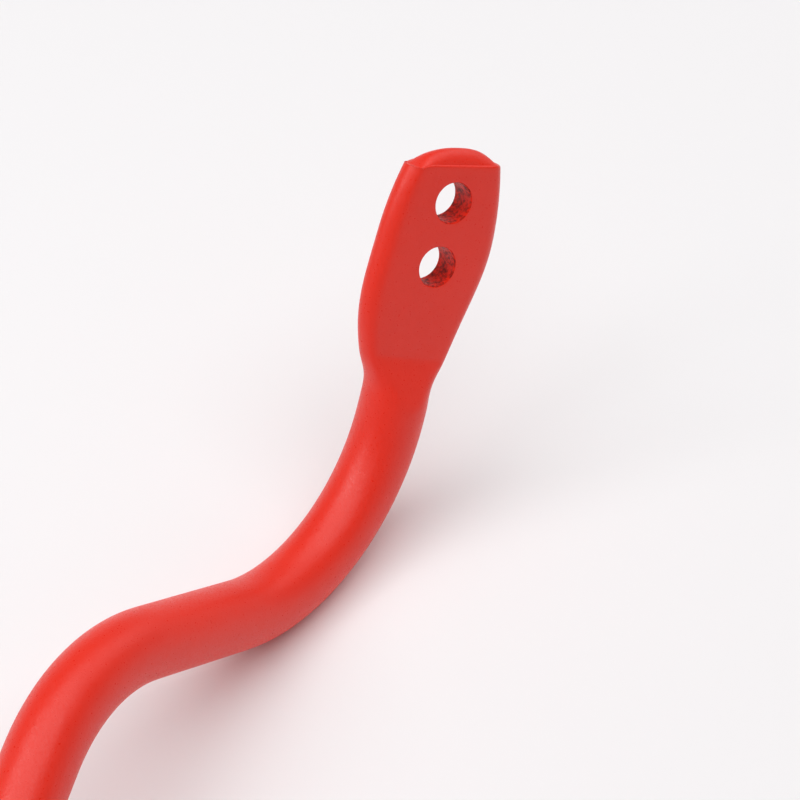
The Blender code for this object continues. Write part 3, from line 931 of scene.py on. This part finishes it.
@dataclass
class FlangeBolt:
    """Hexagon bolt, head down and thread up, on an axis through a flange.

    Levels are heights above the bar's axis.
    """

    diameter: float = 0.010
    pitch: float = 0.0015
    across_flats: float = 0.016
    head: float = 0.0064
    shoulder: float = 0.0114
    top: float = 0.037
    thread_from: float = 0.0150
    around: int = 72

    def build(self, name: str, centre: Array) -> bpy.types.Object:
        """Make the bolt: chamfered head, washer face, shank and thread, from pole to pole.

        Args:
            name: name of the piece.
            centre: point of the bolt's axis at the bar's height.

        Returns:
            The piece.
        """
        skin = Skin()
        flats = self.across_flats / 2
        low = self.shoulder - self.head
        six = hexagon(self.across_flats, self.around, 0.0002)
        reach, level = rows_of(
            (0.0, low + 0.0006), (flats * 0.45, low + 0.0006), (flats * 0.58, low + 0.0002),
            (flats * 0.66, low), (flats * 0.93, low),
        )
        rise = np.linspace(0.0, 0.0012, 7)[:, None]
        chamfer = np.minimum(six, flats * 0.93 + rise * math.sqrt(3))
        head_reach = np.concatenate((reach + 0 * six, chamfer, six[None], six[None] - 0.0003))
        under_head = self.shoulder - 0.0004
        head_level = np.concatenate((level, low + rise, [[self.shoulder - 0.0007]], [[under_head]]))
        add_turned(skin, centre, head_reach, head_level)
        face = flats * 0.96
        under, under_level = rows_of((face, under_head), (face, self.shoulder),
                                     (self.diameter / 2 + 0.0003, self.shoulder),
                                     (self.diameter / 2, self.shoulder + 0.0003),
                                     (self.diameter / 2, self.thread_from))
        under = np.concatenate((six[None] - 0.0003, under + 0 * six))
        under_level = np.concatenate(([[under_head]], under_level))
        add_turned(skin, centre, under, under_level)
        thread = Thread(self.diameter, self.pitch, self.thread_from, self.top, 0.0010)
        reach, level = thread.profile(self.around)
        add_turned(skin, centre, reach, level)
        add_turned(skin, centre, np.stack((reach[-1], 0 * six)), np.full((2, 1), self.top))
        return skin.piece(name)


@dataclass
class FlatWasher:
    """Stamped washer: rounded on the die's side, with a small burr edge on the other."""

    outer: float = 0.020
    inner: float = 0.0106
    low: float = 0.0117
    high: float = 0.0137
    around: int = 72

    def build(self, name: str, centre: Array) -> bpy.types.Object:
        """Make the washer as one closed turned profile.

        Args:
            name: name of the piece.
            centre: point of the washer's axis at the bar's height.

        Returns:
            The piece.
        """
        out, hole, low, high = self.outer / 2, self.inner / 2, self.low, self.high
        reach, level = rows_of(
            (hole + 0.0003, low), (out - 0.0006, low), (out - 0.00025, low + 0.00012),
            (out - 0.00006, low + 0.0004), (out, low + 0.0008), (out, high - 0.0001), (out - 0.0001, high),
            (hole + 0.0001, high), (hole, high - 0.0001), (hole, low + 0.0003), (hole + 0.0001, low + 0.0001),
            (hole + 0.0003, low),
        )
        skin = Skin()
        add_turned(skin, centre, reach + np.zeros(self.around + 1), level)
        return skin.piece(name)


@dataclass
class SplitBush:
    """Cast polyurethane bush, slit towards its seat, with a lip on each side of the saddle.

    Its section is the space between a rounded block and the bar's bore, carried along the bar.
    """

    length: float = 0.037
    bore: float = 0.0103
    reach: float = 0.018
    top: float = 0.0175
    corner: float = 0.011
    slit: float = 0.0010
    lip: float = 0.0015
    lip_width: float = 0.0015
    edge: float = 0.0005

    def outline(self, swell: float, inset: float) -> Array:
        """Outer outline in (Y, Z) from one lip of the slit round to the other.

        Args:
            swell: how far the lip stands out here.
            inset: how far the edge rounding pulls the outline in here.

        Returns:
            Points, anticlockwise seen from +X.
        """
        reach, top, slit = self.reach + swell - inset, self.top - inset, self.slit / 2
        corner = self.corner + swell - inset
        turns = [
            (reach, top, self.lip), (reach, -reach, corner),
            (-reach, -reach, corner), (-reach, top, self.lip),
        ]
        ends = [(slit, top), *[(y, z) for y, z, _ in turns], (-slit, top)]
        corners = np.array([(0.0, y, z) for y, z in ends])
        line = BentLine(corners, tuple(radius for _, _, radius in turns), ALONG)
        distances = []
        for start, span, _, _, _, curve in line.pieces():
            count = 12 if curve is not None else 8
            distances.append(start + span * np.arange(count) / count)
        distances.append(np.array([line.length()]))
        return line.place(np.concatenate(distances), 0.0, 0.0)[:, 1:]

    def build(self, name: str, centre: Array) -> bpy.types.Object:
        """Make the bush.

        Args:
            name: name of the piece.
            centre: middle of the bush on the bar's axis.

        Returns:
            The piece.
        """
        end, groove = self.length / 2, self.length / 2 - self.lip_width - self.lip
        rounding = self.edge * (1 - np.cos(ROUND_STEPS))
        tight = self.edge * (1 - np.sin(ROUND_STEPS))
        ramp = np.linspace(groove, end - self.lip_width, 7)
        half = np.concatenate((end - rounding, ramp[::-1], np.linspace(groove - 0.002, 0.0, 7)))
        inset = np.concatenate((tight, np.zeros(14)))
        x = np.concatenate((half, -half[-2::-1]))
        inset = np.concatenate((inset, inset[-2::-1]))
        swell = self.lip * smooth((np.abs(x) - groove) / (end - self.lip_width - groove))
        outer = np.stack([self.outline(s, i) for s, i in zip(swell, inset)])
        angle = np.unwrap(np.arctan2(outer[0, :, 1], outer[0, :, 0]))
        start = math.asin(self.slit / 2 / self.bore)
        share = (angle - angle[0]) / (angle[-1] - angle[0])
        angle = math.pi / 2 - start - share * 2 * (math.pi - start)
        bore = (self.bore + inset)[:, None]
        inner = np.stack((bore * np.cos(angle), bore * np.sin(angle)), axis=-1)
        skin = Skin()
        along = np.broadcast_to(x[:, None, None], (*outer.shape[:2], 1))
        outside = centre + np.concatenate((along, outer), axis=-1)
        inside = centre + np.concatenate((along, inner), axis=-1)
        across = np.linspace(0.0, 1.0, 9)[:, None, None]
        skin.add(outside)
        skin.add(inside)
        for row in (0, -1):
            skin.add(outside[row] + (inside[row] - outside[row]) * across)
        for column in (0, -1):
            skin.add(outside[:, column] + (inside[:, column] - outside[:, column]) * across)
        return skin.piece(name)


@dataclass
class SaddleStrap:
    """Pressed steel saddle: two drilled flanges and a flat-bottomed U round the bush.

    It is a strip with rounded edges, carried along the bent middle line of the pressing.
    """

    width: float = 0.030
    thickness: float = 0.003
    reach: float = 0.048
    leg: float = 0.0213
    seat: float = 0.017
    bend: float = 0.004
    crown_bend: float = 0.0128
    plan_corner: float = 0.007
    edge: float = 0.0005
    hole_diameter: float = 0.011
    hole_from_end: float = 0.012
    face_cells: int = 24
    hole_rim: float = 0.0003
    block: tuple[float, float] = (0.005, 0.019)                  # stretch of flange round the hole
    block_rows: int = 15
    block_columns: tuple[int, int] = (4, 20)

    def line(self) -> BentLine:
        """Middle line of the strip from one flange's end to the other's, seen along the bar."""
        half = self.thickness / 2
        level, leg, crown = self.seat - half, self.leg - half, half - self.leg
        right = [(self.reach, level), (leg, level), (leg, crown)]
        points = right + [(-y, z) for y, z in right[::-1]]
        corners = np.array([(0.0, y, z) for y, z in points])
        return BentLine(corners, (self.bend, self.crown_bend, self.crown_bend, self.bend), ALONG)

    def pattern(self) -> tuple[Array, Array, Array, Array]:
        """Places round the strip's section as shares of its half sizes and of its edge radius.

        Returns:
            Shares of half width and half thickness, and the edge's cosine and sine, in order from
            the middle of one edge round to it again.
        """
        corner = np.radians((0.0, 30.0, 60.0))
        cells = np.arange(self.face_cells) / self.face_cells
        quarter = (np.concatenate(([1.0], np.ones(3))), np.concatenate(([0.0], np.ones(3))),
                   np.concatenate(([1.0], np.cos(corner))), np.concatenate(([0.0], np.sin(corner))))
        face = (1 - 2 * cells, np.ones_like(cells), np.zeros_like(cells), np.ones_like(cells))
        close = (-quarter[0][:0:-1], quarter[1][:0:-1], -quarter[2][:0:-1], quarter[3][:0:-1])
        last = (np.array([-1.0]), np.ones(1), np.zeros(1), np.ones(1))
        upper = [np.concatenate(parts) for parts in zip(quarter, face, last, close)]
        signs = (1, -1, 1, -1)
        edge = (-1.0, 0.0, -1.0, 0.0)
        return tuple(
            np.concatenate((part, [turn], part[::-1] * sign)) for part, sign, turn in zip(upper, signs, edge)
        )

    def build(self, name: str, centre: Array) -> bpy.types.Object:
        """Make the saddle with its two bolt holes.

        Args:
            name: name of the piece.
            centre: middle of the saddle on the bar's axis.

        Returns:
            The piece.
        """
        line = self.line()
        total = line.length()
        quarter = np.radians(np.linspace(0.0, 90.0, 10))
        rounding = self.edge * (1 - np.cos(ROUND_STEPS))
        lead = np.concatenate((rounding, self.plan_corner * (1 - np.cos(quarter[3:-2]))))
        low, high = self.block
        lead = np.concatenate((lead, np.linspace(low, high, self.block_rows)))
        middle = line.stations(0.003, 7.0)
        middle = middle[(middle > high + 0.001) & (middle < total - high - 0.001)]
        distances = np.concatenate((lead, middle, total - lead[::-1]))
        from_end = np.minimum(distances, total - distances)
        inset = np.zeros_like(distances)
        inset[:EDGE_ROWS] = self.edge * (1 - np.sin(ROUND_STEPS))
        inset[-EDGE_ROWS:] = inset[EDGE_ROWS - 1 :: -1]
        corner = np.clip(self.plan_corner - from_end, 0.0, None)
        half = self.width / 2 - self.plan_corner + np.sqrt(self.plan_corner**2 - corner**2) - inset
        wide, thick, cosine, sine = self.pattern()
        radius = (self.edge - inset * 0.9)[:, None]
        u = (half[:, None] - radius) * wide + radius * cosine
        v = (self.thickness / 2 - inset[:, None] - radius) * thick + radius * sine
        strip = line.place(distances[:, None], u, v)
        keep = np.ones((len(distances) - 1, len(wide) - 1), bool)
        skin = Skin()
        left, right = (EDGE_ROWS + column for column in self.block_columns)
        place = len(wide) - 1
        for start in (len(lead) - self.block_rows, len(distances) - len(lead)):
            rows = slice(start, start + self.block_rows)
            cells = slice(start, start + self.block_rows - 1)
            keep[cells, left:right] = False
            keep[cells, place - right : place - left] = False
            at = self.hole_from_end if start < len(distances) / 2 else total - self.hole_from_end
            self.drill(skin, line, u[rows, right : left - 1 : -1], distances[rows, None], at)
        skin.add(strip, keep)
        for row in (0, -1):
            upper = strip[row, : place // 2 + 1]
            lower = strip[row, ::-1][: place // 2 + 1]
            skin.add(upper + (lower - upper) * np.linspace(0.0, 1.0, 4)[:, None, None])
        for number, quads in enumerate(skin.quads):
            skin.quads[number] = quads + centre
        return skin.piece(name)

    def drill(self, skin: Skin, line: BentLine, u: Array, distances: Array, at: float) -> None:
        """One bolt hole through a flange, its edges slightly rounded by the punch.

        Args:
            skin: surface of the saddle.
            line: middle line of the strip.
            u: offsets across of the block's lattice points.
            distances: their distances along the strip.
            at: distance of the hole along it.
        """
        radius, rim, half = self.hole_diameter / 2, self.hole_rim, self.thickness / 2
        down = np.broadcast_to(distances, u.shape)
        for way in (1, -1):
            add_drilled_block(skin, u, down, (0.0, at), radius + rim,
                              lambda a, d, way=way: line.place(d, a, way * half))
        angles = rim_angles(u.shape[0] - 1, u.shape[1] - 1)
        reach = radius + rim * (1 - np.sin(ROUND_STEPS))[:, None]
        level = half - rim * (1 - np.cos(ROUND_STEPS))[:, None]
        reach = np.concatenate((reach, reach[::-1]))
        level = np.concatenate((level, -level[::-1]))
        skin.add(line.place(at + reach * np.sin(angles), reach * np.cos(angles), level))


@dataclass
class FrameMounting:
    """Bush, saddle, two bolts and two washers, which turn together on the bar."""

    side: Side
    bush: SplitBush = field(default_factory=SplitBush)
    saddle: SaddleStrap = field(default_factory=SaddleStrap)
    bolt: FlangeBolt = field(default_factory=FlangeBolt)
    washer: FlatWasher = field(default_factory=FlatWasher)

    def build(self) -> None:
        """Make and dress the mounting's six pieces."""
        label = self.side.label
        body = f"mounting_{label}"
        joint = next(j for j in frame["joints"] if j["child"] == body)
        centre = np.array(joint["pos_m"])
        put(self.bush.build(f"bush_{label}_moulded", centre), BLACK_POLYURETHANE, body, f"bush_{label}")
        put(self.saddle.build(f"saddle_{label}_pressed", centre), ZINC_PLATED_STEEL, body, f"saddle_{label}")
        for end in End:
            low, high = (np.array(corner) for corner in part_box(f"saddle_washer_{end.label}_{label}"))
            axis = np.array((centre[0], (low[1] + high[1]) / 2, centre[2]))
            bolt, washer = f"saddle_bolt_{end.label}_{label}", f"saddle_washer_{end.label}_{label}"
            put(self.bolt.build(f"{bolt}_threaded", axis), ZINC_PLATED_FASTENER, body, bolt)
            put(self.washer.build(f"{washer}_stamped", axis), ZINC_PLATED_FASTENER, body, washer)


@dataclass
class CapScrew:
    """Socket head cap screw, head up, on a vertical axis; levels are heights above the bar's axis."""

    diameter: float = 0.005
    pitch: float = 0.0008
    head_diameter: float = 0.0085
    shoulder: float = 0.0108
    head: float = 0.005
    socket: float = 0.004
    socket_depth: float = 0.0025
    tip: float = -0.0155
    thread_top: float = -0.0010
    around: int = 48

    def build(self, name: str, centre: Array) -> bpy.types.Object:
        """Make the screw from the tip of its thread up to the drilled floor of its socket.

        Args:
            name: name of the piece.
            centre: point of the screw's axis at the bar's height.

        Returns:
            The piece.
        """
        skin = Skin()
        radius, head, top = self.diameter / 2, self.head_diameter / 2, self.shoulder + self.head
        thread = Thread(self.diameter, self.pitch, -self.thread_top, -self.tip, 0.0005, 6)
        reach, level = thread.profile(self.around)
        flat = np.zeros(self.around + 1)
        add_turned(skin, centre, np.stack((flat, reach[-1])), np.full((2, 1), self.tip))
        add_turned(skin, centre, reach, -level)
        shank, shank_level = rows_of(
            (radius, self.thread_top), (radius, self.shoulder - 0.0003), (radius + 0.0003, self.shoulder),
            (head - 0.0002, self.shoulder), (head, self.shoulder + 0.0002), (head, top - 0.0006),
            (head - 0.0001, top - 0.0003), (head - 0.0004, top - 0.00008), (head - 0.0007, top),
            (self.socket * 0.62, top),
        )
        six = hexagon(self.socket, self.around)
        add_turned(skin, centre, shank + flat, shank_level)
        depth = top - self.socket_depth
        socket = np.stack((flat + self.socket * 0.62, six, six, six * 0.95, flat))
        levels = np.array(((top,), (top - 0.0004,), (depth,), (depth,), (depth - 0.0008,)))
        add_turned(skin, centre, socket, levels)
        return skin.piece(name)


@dataclass
class CollarHalf:
    """Half of a lock collar: a milled block over half of the bar's bore, with two screw holes.

    The section across the bar runs from the rounded block's outline in to the bore; it is carried
    along the bar, and the holes come down through it. The lower half is the upper one turned over.

    Attributes:
        recessed: whether the outer ends of the holes are widened for the screw heads.
    """

    recessed: bool
    length: float = 0.014
    bore: float = 0.0103
    reach: float = 0.02295
    top: float = 0.016
    corner: float = 0.005
    split: float = 0.001
    edge: float = 0.0004
    screw_at: float = 0.0166
    hole: float = 0.0028
    recess: float = 0.00455
    recess_floor: float = 0.0105
    rim: float = 0.0003
    block_half: float = 0.0060                                   # along the bar, round the hole
    block_top: tuple[float, float] = (0.0112, 0.0224)            # across, on the top
    block_split: tuple[float, float] = (0.0116, 0.0222)          # across, on the split face
    cells: int = 10

    def height(self, y: Array, inset: Array | float = 0.0) -> Array:
        """Height of the block's top over y: flat, then a quarter circle down each side."""
        radius = self.corner - inset
        over = np.clip(np.abs(y) - (self.reach - inset - radius), 0.0, radius)
        return self.top - inset - radius + np.sqrt(np.clip(radius**2 - over**2, 0.0, None))

    def outline(self, inset: Array) -> tuple[Array, Array, int]:
        """Outline of the block from the split face up its side and over to the middle.

        Args:
            inset: column of how far the edge rounding pulls it in at each station along the bar.

        Returns:
            y and z, stations by places, and the place where the hole's block begins.
        """
        inner, outer = self.block_top
        side = np.linspace(self.split / 2, self.top - self.corner, 7)[:-1]
        arc_end = math.acos((outer - (self.reach - self.corner)) / self.corner)
        arc = np.linspace(0.0, arc_end, 6)[:-1]
        over = (np.linspace(outer, inner, self.cells + 1), np.linspace(inner, 0.0, 9)[1:])
        top = np.broadcast_to(np.concatenate(over), (len(inset), self.cells + 9))
        radius = self.corner - inset
        arc_y = self.reach - self.corner + radius * np.cos(arc)
        arc_z = self.top - self.corner + radius * np.sin(arc)
        side_z = np.broadcast_to(side, (len(inset), len(side)))
        y = np.concatenate(((self.reach - inset) + 0 * side, arc_y, top), axis=1)
        z = np.concatenate((side_z, arc_z, self.height(top, inset)), axis=1)
        return y, z, len(side) + len(arc)

    def stations(self) -> Array:
        """Places across the split face of the block's lattice round the screw hole."""
        return np.linspace(*self.block_split, self.cells + 1)

    def build(self, name: str, centre: Array, upper: bool) -> bpy.types.Object:
        """Make the half collar.

        Args:
            name: name of the piece.
            centre: middle of the collar on the bar's axis.
            upper: whether it is the half above the bar.

        Returns:
            The piece.
        """
        split, end = self.split / 2, self.length / 2
        rounding = self.edge * (1 - np.cos(ROUND_STEPS))
        tight = self.edge * (1 - np.sin(ROUND_STEPS))
        block = np.linspace(-self.block_half, self.block_half, self.cells + 1)
        x = np.concatenate((-end + rounding, block, end - rounding[::-1]))
        inset = np.concatenate((tight, np.zeros(self.cells + 1), tight[::-1]))[:, None]
        y, z, first = self.outline(inset)
        angle = np.arctan2(z[len(x) // 2], y[len(x) // 2])
        start = math.asin(split / self.bore)
        angle = start + (angle - angle[0]) / (math.pi / 2 - angle[0]) * (math.pi / 2 - start)
        bore = self.bore + inset
        bore_y, bore_z = bore * np.cos(angle), bore * np.sin(angle)
        bore_y[:, 0], bore_z[:, 0] = np.sqrt(bore[:, 0] ** 2 - split**2), split
        keep = np.ones((len(x) - 1, y.shape[1] - 1), bool)
        keep[EDGE_ROWS : EDGE_ROWS + self.cells, first : first + self.cells] = False
        inner_y, outer_y = self.block_top
        skin = Skin()
        for way in (1, -1):
            outside = np.stack((x[:, None] + 0 * y, way * y, z), axis=-1)
            inside = np.stack((x[:, None] + 0 * y, way * bore_y, bore_z), axis=-1)
            skin.add(outside, keep)
            skin.add(inside)
            near, far = inside[0, 0, 1] * way, outside[0, 0, 1] * way
            across = np.concatenate(((near,), self.stations(), (far,)))[:, None, None] - near
            for row in (0, -1):
                skin.add(inside[row] + (outside[row] - inside[row]) * across / (far - near))
            self.split_face(skin, outside[:, 0], inside[:, 0], way)
            self.drill(skin, block, np.linspace(outer_y, inner_y, self.cells + 1), way)
        flip = 1 if upper else -1
        for number, quads in enumerate(skin.quads):
            skin.quads[number] = quads * (1, 1, flip) + centre
        return skin.piece(name)

    def split_face(self, skin: Skin, outer: Array, inner: Array, way: int) -> None:
        """Flat face towards the other half, with the hole's block left out and filled round the hole.

        Args:
            skin: surface of the half collar.
            outer: the face's outer border, from end to end.
            inner: its border at the bore.
            way: sign of y.
        """
        stations = self.stations()
        rows = len(outer)
        y = np.concatenate((
            (way * inner[:, 1])[:, None], np.broadcast_to(stations, (rows, self.cells + 1)),
            (way * outer[:, 1])[:, None],
        ), axis=1)
        grid = np.stack((outer[:, :1] + 0 * y, way * y, np.full_like(y, self.split / 2)), axis=-1)
        keep = np.ones((rows - 1, y.shape[1] - 1), bool)
        keep[EDGE_ROWS : EDGE_ROWS + self.cells, 1 : 1 + self.cells] = False
        skin.add(grid, keep)
        block = outer[EDGE_ROWS : EDGE_ROWS + self.cells + 1, 0]
        across, down = np.meshgrid(stations, block)
        add_drilled_block(skin, across, down, (self.screw_at, 0.0), self.hole + self.rim / 2,
                          lambda a, d: np.stack((d, way * a, np.full_like(a, self.split / 2)), axis=-1))

    def drill(self, skin: Skin, x: Array, y: Array, way: int) -> None:
        """Block of the top round one hole, and the hole's walls down to the split face.

        Args:
            skin: surface of the half collar.
            x: stations of the block along the bar.
            y: its stations across, falling.
            way: sign of y.
        """
        wide = self.recess if self.recessed else self.hole
        across, down = np.meshgrid(y[::-1], x)
        add_drilled_block(skin, across, down, (self.screw_at, 0.0), wide + self.rim,
                          lambda a, d: np.stack((d, way * a, self.height(a)), axis=-1))
        angles = rim_angles(self.cells, self.cells)
        rim_y = self.screw_at + (wide + self.rim) * np.cos(angles)
        mouth = self.height(rim_y)
        reach = wide + self.rim * (1 - np.sin(ROUND_STEPS))
        level = [mouth - self.rim * (1 - np.cos(step)) for step in ROUND_STEPS]
        if self.recessed:
            reach = np.concatenate((reach, (wide, wide - 0.0001, self.hole + 0.0001, self.hole)))
            floor = self.recess_floor
            level += [np.full_like(mouth, z) for z in (floor + 0.0001, floor, floor, floor - 0.0001)]
        reach = np.concatenate((reach, (self.hole, self.hole + self.rim / 2)))
        level += [np.full_like(mouth, z) for z in (self.split / 2 + self.rim / 2, self.split / 2)]
        reach, level = reach[:, None], np.array(level)
        along = reach * np.sin(angles) + 0 * level
        aside = way * (self.screw_at + reach * np.cos(angles)) + 0 * level
        skin.add(np.stack((along, aside, level), axis=-1), mark=1.0)


@dataclass
class LockCollar:
    """Two clamp halves beside a bush and the two screws that close them on the bar."""

    side: Side
    screw: CapScrew = field(default_factory=CapScrew)

    def build(self) -> None:
        """Make and dress the collar's four pieces."""
        label = self.side.label
        low, high = (np.array(corner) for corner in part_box(f"collar_top_{label}"))
        axis = frame["joints"][0]["pos_m"]
        centre = np.array(((low[0] + high[0]) / 2, axis[1], axis[2]))
        for level, upper in (("top", True), ("bottom", False)):
            node = f"collar_{level}_{label}"
            half = CollarHalf(recessed=upper).build(f"{node}_milled", centre, upper)
            put(half, ANODISED_ALUMINIUM, "bar", node)
        for end in End:
            node = f"collar_screw_{end.label}_{label}"
            low, high = (np.array(corner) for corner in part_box(node))
            place = np.array((centre[0], (low[1] + high[1]) / 2, centre[2]))
            put(self.screw.build(f"{node}_threaded", place), BLACK_OXIDE_STEEL, "bar", node)


# ---------------------------------------------------------------- floor, light and camera


@dataclass(frozen=True)
class SoftBox:
    """Square studio light aimed at the arm.

    Attributes:
        name: name of the light.
        azimuth: direction to it, from +X towards +Y.
        rise: direction to it above the horizon.
        distance: how far away it is.
        size: length of its sides.
        power: radiant power in watts.
    """

    name: str
    azimuth: float
    rise: float
    distance: float
    size: float
    power: float


@dataclass
class Studio:
    """Plain pale floor, soft light and the camera."""

    floor_size: float = 30.0
    floor_colour: str = "#f4f2f3"
    sky_zenith: float = 0.12
    sky_middle: float = 0.18
    sky_horizon: float = 0.70
    lens: float = 103.5
    sensor: float = 36.0
    stand_off: tuple[float, float, float] = (-0.34982, 0.12895, 0.46538)   # from the arm's low bend
    nod: float = 44.55             # camera's turn up from looking straight down
    swing: float = -122.93         # camera's turn about Z
    lights: tuple[SoftBox, ...] = (
        SoftBox("main_softbox", 68.0, 50.0, 1.3, 0.8, 4.8),
        SoftBox("rear_softbox", -75.0, 35.0, 1.4, 0.8, 2.3),
        SoftBox("overhead_softbox", 0.0, 90.0, 2.0, 2.6, 39.0),
    )

    def build(self, low_bend: Array) -> None:
        """Make floor, world, lights and camera round the arm's low bend."""
        self.lay_floor()
        self.light_sky()
        for box in self.lights:
            self.hang(box, low_bend)
        self.set_camera(low_bend)
        scene = bpy.context.scene
        scene.view_settings.view_transform = "Standard"
        log.info("studio with %d soft boxes", len(self.lights))

    def lay_floor(self) -> None:
        """Level sheet of pale paper at the foot of the object."""
        reach = np.linspace(-self.floor_size / 2, self.floor_size / 2, 9)
        across, along = np.meshgrid(reach, reach)
        skin = Skin()
        skin.add(np.stack((across, along, np.full_like(across, CAD_BOX[0].z)), axis=-1))
        floor = skin.piece("paper_floor")
        if floor.data.polygons[0].normal.z < 0:
            floor.data.flip_normals()
        material = bpy.data.materials.new("paper_matt_uncoated")
        material.use_nodes = True
        shader = material.node_tree.nodes["Principled BSDF"]
        shader.inputs["Base Color"].default_value = srgb(self.floor_colour)
        shader.inputs["Roughness"].default_value = 0.9
        shader.inputs["Specular IOR Level"].default_value = 0.2
        floor.data.materials.append(material)

    def light_sky(self) -> None:
        """Surrounding light that is brightest at the horizon and dimmer overhead."""
        world = bpy.data.worlds.new("studio_surround")
        bpy.context.scene.world = world
        world.use_nodes = True
        tree = world.node_tree
        ray = add_node(tree, "ShaderNodeTexCoord").outputs["Generated"]
        level = add_node(tree, "ShaderNodeSeparateXYZ", {"Vector": ray}).outputs["Z"]
        ramp = add_node(tree, "ShaderNodeValToRGB", {"Fac": level})
        stops = ((0.0, self.sky_horizon), (0.45, self.sky_middle), (1.0, self.sky_zenith))
        while len(ramp.color_ramp.elements) < len(stops):
            ramp.color_ramp.elements.new(0.5)
        for element, (position, value) in zip(ramp.color_ramp.elements, stops):
            element.position, element.color = position, (value, value, value, 1.0)
        background = tree.nodes["Background"]
        tree.links.new(ramp.outputs["Color"], background.inputs["Color"])

    def hang(self, box: SoftBox, target: Array) -> None:
        """One square area light, aimed at the target point."""
        data = bpy.data.lights.new(box.name, "AREA")
        data.shape, data.size, data.energy = "SQUARE", box.size, box.power
        lamp = bpy.data.objects.new(box.name, data)
        bpy.context.scene.collection.objects.link(lamp)
        lamp.location = target + heading(-box.azimuth, box.rise) * box.distance
        lamp.rotation_euler = (math.radians(90 - box.rise), 0.0, math.radians(box.azimuth + 90))

    def set_camera(self, low_bend: Array) -> None:
        """Camera that looks down on the arm from the inner rear side."""
        data = bpy.data.cameras.new("camera")
        data.lens, data.sensor_width, data.clip_start = self.lens, self.sensor, 0.01
        camera = bpy.data.objects.new("camera", data)
        bpy.context.scene.collection.objects.link(camera)
        camera.location = low_bend + np.array(self.stand_off)
        camera.rotation_euler = (math.radians(self.nod), 0.0, math.radians(self.swing))
        bpy.context.scene.camera = camera


def main() -> None:
    """Build every piece in order, then the studio."""
    logging.basicConfig(level=logging.INFO, format="%(message)s")
    bar = SwayBar()
    bar.build()
    for side in Side:
        FrameMounting(side).build()
        LockCollar(side).build()
    Studio().build(bar.to_frame(bar.line().corners[2][None])[0])


if __name__ == "__main__":
    main()
